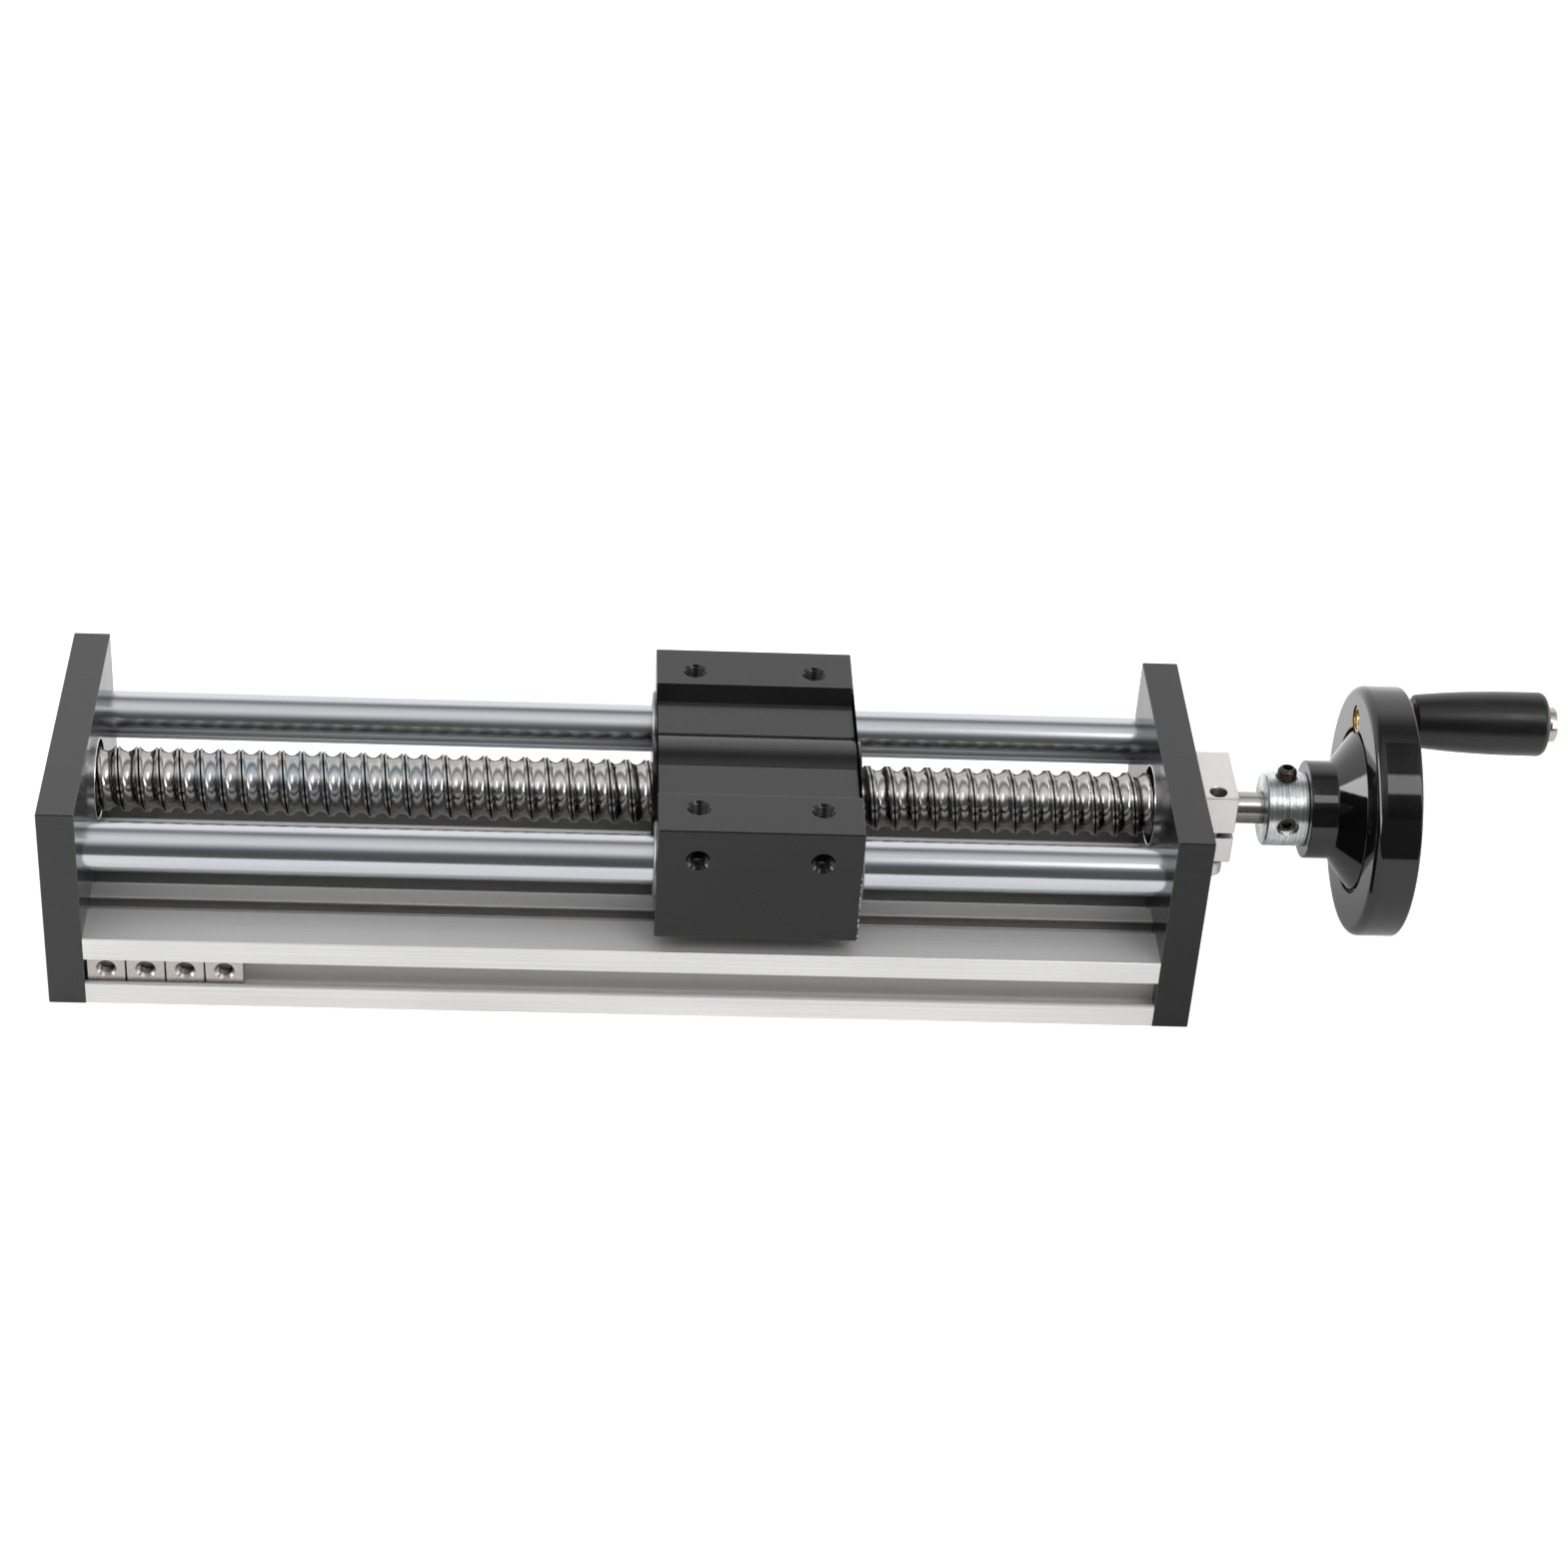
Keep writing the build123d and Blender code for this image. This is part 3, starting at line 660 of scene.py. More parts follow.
def anodised_rail():
    """Clear anodised extrusion: satin, with fine die lines along its length."""
    look = Look("anodised_rail", (0.785, 0.78, 0.775), 1.0, 0.36)
    lines = look.noise((120, 0.35, 0.35), 4.0, 0.6)
    fine = look.noise((30, 0.09, 0.09), 2.0)
    cloud = look.noise((60, 18, 18))
    color = look.shade(look.mean(lines, cloud, 0.7), 0.34, 0.66, 0.14)
    _, y, z = look.position()
    out, top = look.size(y), RAIL_HIGH.z

    # Painted light: paler and less metallic inside the side slots, so the inside reads lighter
    cavity = look.times(
        look.rise(out, HALF_WIDTH - 5.0, HALF_WIDTH - 4.8),
        look.fall(out, HALF_WIDTH - 0.25, HALF_WIDTH - 0.05),
        look.fall(look.size(look.minus(z, SIDE_SLOT_Z)), 5.6, 5.8),
    )
    color = look.blend(cavity, color, (0.62, 0.615, 0.60))

    # Painted light: whiter and less metallic on the lands of the top; with dust
    lands = look.times(
        look.rise(z, top - 0.6, top - 0.2), look.fall(out, HALF_WIDTH - 0.6, HALF_WIDTH - 0.3)
    )
    color = look.blend(look.times(lands, 0.6), color, (0.79, 0.785, 0.78))
    dust = look.specks(7.0, 0.08, 0.13)
    color = look.blend(look.times(dust, lands), color, (0.30, 0.30, 0.29))

    # Painted shade: darker down in the top grooves
    grooves = look.times(
        look.spread(z, top - 0.9, top - 0.3, 0.55, 0.0),
        look.rise(z, 15.6, 15.9),
        look.fall(out, HALF_WIDTH - 1.2, HALF_WIDTH - 0.9),
    )
    color = look.blend(grooves, color, (0.20, 0.195, 0.19))

    rougher = look.plus(look.times(cavity, 0.3), look.times(lands, 0.12))
    look.wear({
        "Base Color": color,
        "Metallic": look.minus(look.spread(cavity, 0, 1, 1.0, 0.35), look.times(lands, 0.5)),
        "Roughness": look.plus(rougher, look.spread(lines, 0.3, 0.7, 0.31, 0.43)),
    })
    look.bump(look.plus(lines, look.times(fine, 0.4)), 0.006)
    return look


def black_anodised():
    """Black anodised aluminium: satin, very fine grain, a few bright nicks."""
    look = Look("black_anodised", (0.0075, 0.0075, 0.0085), 0.0, 0.17)
    x, y, z = look.position()
    from_middle = look.size(look.minus(x, CARRIAGE_X))
    on_block = look.fall(from_middle, 25.0, 25.5)
    cloud = look.noise((26, 14, 14), 4.0)
    color = look.shade(cloud, 0.32, 0.68, 0.2)
    # Painted light: the colour is lighter towards the left end, where the light falls more strongly
    color = look.blend(look.fall(x, -HALF_RAIL, 0), color, (0.030, 0.030, 0.0305))
    color = look.blend(look.specks(5.5, 0.10, 0.10), color, (0.62, 0.61, 0.6))

    # Painted highlight: light lines along the pads' inner edges, where the edges catch the light
    from_edge = look.size(look.minus(look.size(y), HALF_WIDTH - PAD_WIDTH))
    on_top = look.rise(z, BLOCK_HIGH.z - 0.2, BLOCK_HIGH.z - 0.1)
    pad_edge_highlight = look.times(look.fall(from_edge, 0.16, 0.26), on_top, on_block)
    color = look.blend(pad_edge_highlight, color, (0.06, 0.06, 0.062))

    # Bright nicks down the block's front right corner
    nicks = look.times(
        look.rise(x, BLOCK_HIGH.x - 0.34, BLOCK_HIGH.x - 0.24),
        on_block,
        look.fall(y, -HALF_WIDTH + 0.24, -HALF_WIDTH + 0.34),
        look.fall(z, 44.0, 46.0),
        look.rise(look.noise((0.7, 0.7, 0.7), 2.0), 0.50, 0.54),
    )
    color = look.blend(nicks, color, (0.75, 0.74, 0.72))

    # Painted shade: the sheen is turned down on the slopes to the front, on faces to the front and
    # sideways, and in the side holes
    normal_x, normal_y, normal_z = look.normal("True Normal")
    sheen = look.spread(look.minus(normal_z, normal_y), 1.37, 1.40, 0.5, 0.06)
    front = look.fall(normal_y, -0.95, -0.9)
    side = look.rise(look.size(normal_x), 0.9, 0.95)
    less = look.plus(
        look.times(front, look.spread(x, -HALF_RAIL, HALF_RAIL, 0.10, 0.36)), look.times(side, 0.62)
    )
    height = look.minus(z, BLOCK_HIGH.z - SIDE_HOLE_DROP)
    from_hole = look.distance(look.minus(from_middle, HOLE_HALF_X), height)
    beside_hole = look.spread(from_hole, M5_CORE - 0.1, M5_CORE + 0.1, 0.15, 1.0)

    look.wear({
        "Base Color": color,
        "Roughness": look.spread(cloud, 0.3, 0.7, 0.14, 0.20),
        "IOR": 1.55,
        "Specular IOR Level": look.times(sheen, look.minus(1.0, less), beside_hole),
    })
    look.bump(look.noise((0.16, 0.16, 0.16), 2.0), 0.002)
    return look


def screw_steel():
    """Ground and polished screw: bright above, painted shade below and on faces turned to the back, blue
    heat tints in places.
    """
    look = Look("screw_steel", (0.60, 0.59, 0.58), 1.0, 0.14)
    x, y, z = look.position()
    spots = look.noise((0.9, 0.9, 0.9), 4.0, 0.65)
    color = look.shade(look.noise((9, 3.5, 3.5), 4.0, 0.6), 0.3, 0.7, 0.15)

    tinted = look.times(look.rise(x, -112, -98), look.fall(x, -58, -40))
    patches = look.spread(look.noise((5, 2.2, 2.2), 4.0), 0.47, 0.62, 0.0, 0.65)
    color = look.blend(look.times(tinted, patches), color, (0.34, 0.47, 0.56))

    _, normal_y, normal_z = look.normal()
    # Painted shade: darker on faces turned down, and on faces turned to the back
    color = look.blend(look.spread(normal_z, 0.50, 0.12, 0.0, 0.74), color, (0.07, 0.062, 0.056))
    color = look.blend(look.spread(normal_y, -0.24, 0.05, 0.0, 0.62), color, (0.25, 0.235, 0.22))

    # Painted shade: dark in the notch of each land
    height = look.minus(z, SHAFT_Z)
    turn = look.math("ARCTAN2", height, y)
    phase = look.minus(look.math("MULTIPLY_ADD", turn, -LEAD / (2 * pi), x), GROOVE_X)
    off = look.math("PINGPONG", phase, LEAD / 2)
    notch = look.times(
        look.spread(off, LEAD / 2 - NOTCH_HALF, LEAD / 2 - NOTCH_HALF * 0.6, 0.0, 0.9),
        look.rise(look.distance(y, height), SCREW_R - 0.9, SCREW_R - 0.7),
    )
    color = look.blend(notch, color, (0.02, 0.018, 0.017))

    rough = look.math("MULTIPLY_ADD", tinted, 0.06, look.spread(spots, 0.35, 0.7, 0.09, 0.22))
    look.wear({"Base Color": color, "Roughness": rough})
    rough_spots = look.times(spots, look.math("MULTIPLY_ADD", tinted, 1.6, 0.6))
    look.bump(look.plus(look.noise((0.18, 12, 12)), rough_spots), 0.0045)
    return look


def turned_steel(name, color, roughness, marks=0.15, depth=0.003, centre=(0.0, SHAFT_Z), contrast=0.12):
    """Turned metal: fine rings around the axis and a cloudy tone."""
    look = Look(name, color, 1.0, roughness)
    rings = look.noise(look.ring_cells(marks, centre), 3.0, 0.6)
    cloud = look.noise((4, 4, 4), 4.0)
    look.wear({
        "Base Color": look.shade(look.mean(rings, cloud, 0.6), 0.36, 0.64, contrast),
        "Roughness": look.spread(rings, 0.3, 0.7, roughness * 0.8, roughness * 1.25),
    })
    look.bump(rings, depth)
    return look


def plain(name, color, metallic, roughness, clouds, contrast, rough, grain, depth):
    """Plain finish: one noise for tone and roughness, another for the bumps."""
    look = Look(name, color, metallic, roughness)
    cloud = look.noise(*clouds)
    look.wear({
        "Base Color": look.shade(cloud, 0.3, 0.7, contrast),
        "Roughness": look.spread(cloud, 0.3, 0.7, *rough),
    })
    look.bump(look.noise(*grain), depth)
    return look


def lined(name, color, roughness, lines, clouds, contrast, rough, depth, hole, hole_shade, hole_rough=0.0):
    """Metal with milled or rolled lines; hole gives 1 inside its holes, which get painted shade."""
    look = Look(name, color, 1.0, roughness)
    lines = look.noise(lines, 3.0, 0.6)
    cloud = look.noise(clouds, 4.0)
    inside = hole(look)
    tone = look.shade(look.mean(lines, cloud, 0.5), 0.32, 0.68, contrast)
    rough = look.spread(cloud, 0.3, 0.7, *rough)
    look.wear({
        "Base Color": look.blend(inside, tone, hole_shade),
        "Roughness": look.math("MULTIPLY_ADD", inside, hole_rough, rough),
    })
    look.bump(lines, depth)
    return look


def clamp_bore(look):
    """1 in the bore of the clamp's screw."""
    x, y, _ = look.position()
    out = look.distance(look.minus(x, CLAMP_X), look.minus(y, CLAMP_SCREW_Y))
    return look.fall(out, M4_R + 0.02, M4_R + 0.1)


def slot_nut_bores(look):
    """1 in the threads of the slot nuts."""
    x, _, z = look.position()
    along = look.math("PINGPONG", look.minus(x, SLOT_NUTS_LOW.x), NUT_STEP / 2)
    out = look.distance(look.minus(along, NUT_STEP / 2 - 0.06), look.minus(z, SIDE_SLOT_Z))
    return look.fall(out, 1.72, 1.86)


def wheel_plastic():
    """Polished black phenolic: glossy, with faint scratches and a few pits."""
    look = Look("wheel_plastic", (0.0055, 0.0055, 0.0062), 0.0, 0.06)
    color = look.shade(look.noise((12, 12, 12), 4.0), 0.3, 0.7, 0.2)
    scratches = look.noise((18, 0.5, 2.5), 4.0, 0.65)
    look.wear({
        "Base Color": look.blend(look.specks(4.0, 0.10, 0.09), color, (0.14, 0.14, 0.14)),
        "Roughness": look.spread(scratches, 0.35, 0.75, 0.03, 0.11),
        "IOR": 1.54,
    })
    look.bump(look.noise((2.2, 2.2, 2.2), 2.0), 0.006)
    return look


LOOKS = (
    anodised_rail(),
    black_anodised(),
    # Hard chrome, with faint grinding lines around the rod
    plain("chrome_rod", (0.60, 0.615, 0.65), 1.0, 0.15, ((45, 1.2, 1.2), 3.0), 0.045, (0.13, 0.20),
          ((0.25, 60, 60), 3.0), 0.0008),
    screw_steel(),
    turned_steel("nut_steel", (0.52, 0.51, 0.5), 0.26),
    turned_steel("bearing_steel", (0.62, 0.62, 0.62), 0.2, 0.1, 0.0015),
    turned_steel("shield_steel", (0.55, 0.55, 0.55), 0.3, 0.2, 0.002),
    # Blackened and slightly oily
    plain("black_oxide_steel", (0.065, 0.058, 0.056), 0.85, 0.28, ((1.2, 1.2, 1.2), 4.0), 0.3,
          (0.25, 0.42), ((1.2, 1.2, 1.2), 4.0), 0.01),
    turned_steel("bush_steel", (0.24, 0.235, 0.23), 0.34),
    # Moulded nylon
    plain("wiper_plastic", (0.045, 0.045, 0.046), 0.0, 0.5, ((0.3, 0.3, 0.3), 3.0), 0.2,
          (0.42, 0.58), ((0.3, 0.3, 0.3), 3.0), 0.01),
    # Milling lines, and painted shade in the bore for the clamp's screw
    lined("plain_aluminium", (0.76, 0.75, 0.745), 0.38, (0.4, 14, 0.4), (5, 5, 5), 0.08, (0.33, 0.45),
          0.006, clamp_bore, (0.10, 0.095, 0.09)),
    turned_steel("zinc_steel", (0.66, 0.69, 0.69), 0.2, 0.16, 0.09, contrast=0.42),
    wheel_plastic(),
    # Satin phenolic
    plain("grip_plastic", (0.008, 0.008, 0.009), 0.0, 0.26, ((7, 3, 3), 4.0), 0.2, (0.26, 0.36),
          ((0.35, 0.35, 0.35), 3.0), 0.004),
    turned_steel("insert_brass", (0.85, 0.58, 0.22), 0.22, 0.2, 0.004, (HANDLE_Y, HANDLE_Z)),
    # Nickel with a warm cast and rolled lines, with painted shade in the slot nuts' bores
    lined("nickel_steel", (0.52, 0.475, 0.46), 0.28, (0.22, 6, 0.9), (2.6, 2.6, 2.6), 0.12, (0.22, 0.36),
          0.005, slot_nut_bores, (0.024, 0.018, 0.015), 0.2),
)
MATERIALS = {look.name: look.material for look in LOOKS}


def place(piece, body, slot_name, *nodes, smooth=30.0):
    """Dress a piece: shading, material, the body that it rides on and the nodes it stands for."""
    piece.data.materials.clear()
    piece.data.materials.append(MATERIALS[slot_name])
    piece.data.shade_smooth()
    piece.data.set_sharp_from_angle(angle=radians(smooth))
    weights = piece.modifiers.new("weights", "WEIGHTED_NORMAL")
    weights.keep_sharp = True
    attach(piece, body)
    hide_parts(*nodes)


# Rail


def slot_path(mouth, along, inwards):
    """Corners of a T-slot met while going along a face: mouth, lips, cavity and back."""
    half_mouth, half_cavity = SLOT_MOUTH / 2, SLOT_CAVITY / 2
    steps = [
        (-half_mouth, 0),
        (-half_mouth, SLOT_LIP),
        (-half_cavity, SLOT_LIP),
        (-half_cavity, SLOT_DEPTH - SLOT_CORNER),
        (-half_cavity + SLOT_CORNER, SLOT_DEPTH),
    ]
    steps = steps + [(-u, depth) for u, depth in reversed(steps)]
    return [tuple(mouth + along * u + inwards * depth) for u, depth in steps]


def rail():
    """Extruded rail with its T-slots and top grooves."""
    top = RAIL_HIGH.z
    half = slot_path(Vector((BOTTOM_SLOT_Y, 0)), Vector((1, 0)), Vector((0, 1)))
    half.append((HALF_WIDTH, 0))
    half += slot_path(Vector((HALF_WIDTH, SIDE_SLOT_Z)), Vector((0, 1)), Vector((-1, 0)))
    half.append((HALF_WIDTH, top))
    for offset, width, depth in GROOVES:
        right, left = offset + width / 2, offset - width / 2
        half += [(right, top), (right, top - depth), (left, top - depth), (left, top)]
    loop = half + [(-y, z) for y, z in reversed(half)]
    piece = extruded("rail", rounded(loop, RAIL_CORNER, 3), -HALF_RAIL, HALF_RAIL)
    place(piece, "base", "anodised_rail", "base_rail")


def guide_rods():
    """Two chromed rods."""
    for node in RODS:
        low, high = box_mm(node)
        profile = eased(low.x, high.x, 0, ROD_R, ROD_EASE)
        piece = turned(node + "_polished", profile, (0, (low.y + high.y) / 2, SHAFT_Z), steps=160)
        place(piece, "base", "chrome_rod", node)


# Ball screw


def screw_form(start, end):
    """Radius of the ball screw's thread at a place and angle."""
    far = GROOVE_HALF + ARCH_SHIFT
    below = (far**2 - ARCH_SHIFT**2 - GROOVE_DEPTH**2) / (2 * GROOVE_DEPTH)
    ball = sqrt(below**2 + far**2)
    bottom = sqrt(ball**2 - ARCH_SHIFT**2)
    land_half = LEAD / 2 - GROOVE_HALF

    def radius_at(along, angle):
        off = (along - GROOVE_X - LEAD * angle / (2 * pi) + LEAD / 2) % LEAD - LEAD / 2
        off = abs(off)
        if off < GROOVE_HALF:
            arch = SCREW_R - GROOVE_DEPTH + bottom - sqrt(ball**2 - (off + ARCH_SHIFT) ** 2)
            near_ridge = max(0, 1 - (GROOVE_HALF - off) / RIDGE_EASE)
            radius = min(arch, SCREW_R - RIDGE_EASE * near_ridge**2)
        else:
            from_middle = land_half - (off - GROOVE_HALF)
            radius = SCREW_R - LAND_DIP * max(0, 1 - from_middle / NOTCH_HALF)
        edge = min(along - start, end - along)
        return min(radius, SCREW_R - THREAD_CHAMFER + edge)

    return radius_at


def thread_shares(start):
    """Places of the thread's rows in one turn: close together at the ridges and the notch."""
    land_half = LEAD / 2 - GROOVE_HALF
    notch = (0.0, 0.5 * NOTCH_HALF, NOTCH_HALF, NOTCH_HALF + 0.07, land_half - 0.06)
    half = [LEAD / 2 - off for off in notch]
    half += [GROOVE_HALF * share for share in (1.0, 0.96, 0.9, 0.82, 0.7, 0.56, 0.42, 0.28, 0.14)]
    offsets = half + [0.0] + [-off for off in half[1:]]
    return sorted(((off + GROOVE_X - start) / LEAD) % 1.0 for off in offsets)


def ball_screw():
    """Ball screw with its helical groove, necks and journals."""
    start, end = -HALF_RAIL + THREAD_GAP, HALF_RAIL - THREAD_GAP
    bearing = PLATE_OUT - BEARING_WIDTH
    left, right = SCREW_LOW.x, SCREW_HIGH.x
    head = [
        (left, 0.2), (left, JOURNAL_R - 0.4), (left + 0.4, JOURNAL_R), (-bearing, JOURNAL_R),
        (-bearing, NECK_R), (start - 0.01, NECK_R),
    ]
    tail = [
        (end + 0.01, NECK_R), (bearing, NECK_R), (bearing, JOURNAL_R),
        (right - 0.5, JOURNAL_R), (right, JOURNAL_R - 0.5), (right, 0.2),
    ]
    piece = threaded("ball_screw_ground", screw_form(start, end), start, end, LEAD, head, tail,
                     steps=64, shares=thread_shares(start))
    place(piece, "screw", "screw_steel", "ball_screw", smooth=42.0)


# Carriage


def carriage():
    """Black carriage block: pads, slanted steps, raised middle, tapped holes and bores."""
    top, low_flat = BLOCK_HIGH.z, BLOCK_HIGH.z - STEP_DROP
    pad_inner = HALF_WIDTH - PAD_WIDTH
    half = [
        (HALF_WIDTH, BLOCK_LOW.z, 0.4),
        (HALF_WIDTH, top, 0.35),
        (pad_inner, top, 0.15),
        (pad_inner - STEP_RUN, low_flat, 0.4),
    ]
    foot_z = low_flat + BULGE_FOOT - SHAFT_Z
    foot_y = sqrt((BULGE_R + BULGE_FOOT) ** 2 - foot_z**2)
    foot_angle = asin(foot_y / (BULGE_R + BULGE_FOOT))
    for step in range(FOOT_STEPS):
        angle = foot_angle * step / FOOT_STEPS
        half.append((foot_y - BULGE_FOOT * sin(angle), low_flat + BULGE_FOOT * (1 - cos(angle)), 0))
    bulge = []
    for step in range(2 * BULGE_STEPS + 1):
        angle = foot_angle * (1 - step / BULGE_STEPS)
        bulge.append((BULGE_R * sin(angle), SHAFT_Z + BULGE_R * cos(angle), 0))
    loop = rounded(half + bulge + [(-corner[0], *corner[1:]) for corner in reversed(half)], 0, 5)
    piece = extruded("carriage_block_black", loop, BLOCK_LOW.x, BLOCK_HIGH.x, BLOCK_EDGE)

    start, end = BLOCK_LOW.x - 1, BLOCK_HIGH.x + 1
    tools = [round_tool("nut_bore", start, end, (NUT_HIGH.z - NUT_LOW.z) / 2 + BORE_PLAY)]
    for node in RODS:
        low, high = box_mm(node)
        tools.append(round_tool("bush_bore", start, end, BUSH_R + BORE_PLAY, (low.y + high.y) / 2))
    for x in (CARRIAGE_X - HOLE_HALF_X, CARRIAGE_X + HOLE_HALF_X):
        for side in (-1, 1):
            tools.append(hole_tool("top_hole", (x, side * HOLE_HALF_Y, top), DOWN, M5, HOLE_DEPTH, MOUTH))
            side_place = (x, side * HALF_WIDTH, top - SIDE_HOLE_DROP)
            tools.append(hole_tool("side_hole", side_place, (0, -side, 0), M5, SIDE_HOLE_DEPTH, MOUTH))
    cut(piece, *tools)
    place(piece, "carriage", "black_anodised", "carriage_block")


def nut_and_wipers():
    """Ball nut in the carriage with a wiper in each end."""
    outer = (NUT_HIGH.z - NUT_LOW.z) / 2
    start, end = NUT_LOW.x, NUT_HIGH.x
    seat, bore, deep = NUT_SEAT_R + BORE_PLAY, SCREW_R + NUT_PLAY, NUT_SEAT_DEPTH
    profile = eased(start, end, seat + EASE, outer, EASE) + [
        (end - EASE, seat), (end - deep, seat), (end - deep, bore),
        (start + deep, bore), (start + deep, seat), (start + EASE, seat),
    ]
    place(turned("ball_nut_ground", profile), "carriage", "nut_steel", "ball_nut")
    for node, face, step in (("left_nut_wiper", start, 1), ("right_nut_wiper", end, -1)):
        low, high = box_mm(node)
        radius = (high.z - low.z) / 2
        inner = SCREW_R + WIPER_PLAY
        profile = [
            (face + step * 0.25, inner), (face + step * 0.25, radius - 0.6),
            (face + step * 0.6, radius), (face + step * deep, radius), (face + step * deep, inner),
        ]
        place(turned(node + "_ring", profile), "carriage", "wiper_plastic", node)


def bushes():
    """Four slide bushes, each with a recessed wiper lip at its outer face."""
    bore = ROD_R + ROD_PLAY
    shape = [
        (0, 7.6), (0, BUSH_R - EASE), (EASE, BUSH_R), (BUSH_LENGTH, BUSH_R),
        (BUSH_LENGTH, bore), (0.5, bore), (0.5, bore + 0.9), (0.9, bore + 1.0), (0.5, 7.4),
    ]
    for row in ("front", "rear"):
        for end, side in ENDS:
            node = f"{row}_{end}_bush"
            low, high = box_mm(node)
            face = low.x if side < 0 else high.x
            profile = [(face - side * along, radius) for along, radius in shape]
            piece = turned(node + "_turned", profile, (0, (low.y + high.y) / 2, SHAFT_Z))
            place(piece, "carriage", "bush_steel", node)


# Base hardware


def bearings():
    """Ball bearings in the end plates: rings and pressed shields."""
    shield = [
        (0.4, RACE_R + 0.3), (0.4, 7.9), (0.55, 8.1),
        (0.55, LAND_R - 0.01), (0.8, LAND_R - 0.01), (0.8, RACE_R + 0.3),
    ]
    for end, side in ENDS:
        near, far = side * (PLATE_OUT - BEARING_WIDTH), side * PLATE_OUT
        step = side * EASE
        outer = eased(near, far, LAND_R + 0.1, BEARING_R, EASE)
        outer += [(far - step, LAND_R), (near + step, LAND_R)]
        inner = eased(near, far, JOURNAL_R + 0.3, RACE_R, EASE, 0.1)
        inner += [(far - step, JOURNAL_R + BORE_PLAY), (near + step, JOURNAL_R + BORE_PLAY)]
        place(turned(f"{end}_bearing_outer", outer), "base", "bearing_steel", f"{end}_bearing_outer_ring")
        place(turned(f"{end}_bearing_inner", inner), "screw", "bearing_steel", f"{end}_bearing_inner_ring")
        shields = []
        for face, way in ((near, side), (far, -side)):
            shields.append(turned("shield", [(face + way * along, radius) for along, radius in shield]))
        pair = joined(f"{end}_bearing_shield_pair", shields)
        place(pair, "base", "shield_steel", f"{end}_bearing_shields")


def bore_rings():
    """Thin bright ring round each plate's bore, standing out of the inner face."""
    for end, side in ENDS:
        face = side * HALF_RAIL
        front = face - side * RING_OUT
        behind = front + side * RING_EASE
        profile = [
            (face, RING_LOW), (behind, RING_LOW), (front, RING_LOW + RING_EASE),
            (front, RING_HIGH - RING_EASE), (behind, RING_HIGH), (face, RING_HIGH),
        ]
        place(turned(f"{end}_bore_ring", profile, steps=192), "base", "bearing_steel")


def plate_screws():
    """Low-head screws in the plates' outer faces, with hexagon sockets."""
    for end, side in ENDS:
        for kind in ("plate", "rod"):
            node = f"{end}_{kind}_screws"
            low, high = box_mm(node)
            face, tip = (low.x, high.x) if side < 0 else (high.x, low.x)
            length = abs(tip - face)
            half = high.y - HEAD_R
            offsets = (-half, half) if kind == "rod" else (-half, -INNER_SCREW_Y, INNER_SCREW_Y, half)
            z = (low.z + high.z) / 2
            profile = [
                (0, 0), (0, HEAD_R - EASE), (EASE, HEAD_R), (HEAD_HEIGHT, HEAD_R),
                (HEAD_HEIGHT, HEAD_SHANK_R), (length - 0.5, HEAD_SHANK_R), (length, 1.5), (length, 0),
            ]
            screws = []
            for y in offsets:
                screw = turned("screw", profile, (face, y, z), (-side, 0, 0), 64)
                screws.append(cut(screw, hex_tool((face, y, z), (-side, 0, 0), SOCKET_R, 1.2)))
            place(joined(node + "_set", screws), "base", "black_oxide_steel", node)


def clamp():
    """Split clamp block on the shaft with its cap screw."""
    low, high, y = CLAMP_LOW, CLAMP_HIGH, CLAMP_SCREW_Y
    slit_z = SHAFT_Z - SLIT_DROP
    piece = block("clamp_block", low, high, 0.4)
    slit = block("slit", (low.x - 1, low.y - 1, slit_z - SLIT_HALF), (high.x + 1, 0, slit_z + SLIT_HALF), 0)
    bore = round_tool("bore", low.x - 1, high.x + 1, JOURNAL_R + BORE_PLAY)
    thread = hole_tool("thread", (CLAMP_X, y, high.z), DOWN, M4, high.z - slit_z, 0.3)
    depth = slit_z - low.z
    profile = [(-1, 0), (-1, CLAMP_CLEAR_R), (depth, CLAMP_CLEAR_R), (depth, 0)]
    clear = turned("clear", profile, (CLAMP_X, y, low.z), UP, 64)
    cut(piece, slit, bore, thread, clear)
    place(piece, "screw", "plain_aluminium", "shaft_clamp_block")

    screw_low, screw_high = box_mm("clamp_screw")
    origin = (CLAMP_X, y, screw_low.z)
    length = low.z - screw_low.z
    tip = screw_high.z - screw_low.z
    head = [
        (0, 0.2), (0, CLAMP_HEAD_R - 0.4), (0.4, CLAMP_HEAD_R), (length, CLAMP_HEAD_R), (length, M4_CORE),
    ]
    form = thread_radius(M4_CORE - 0.3, M4_CORE - 0.05, M4_PITCH)
    screw = threaded("clamp_cap_screw", form, length + 0.01, tip - 0.2, M4_PITCH, head, [(tip, 0.2)],
                     8, 48, origin, UP)
    cut(screw, hex_tool(origin, UP, SOCKET_R, 2.0))
    place(screw, "screw", "zinc_steel", "clamp_screw")


# Handwheel


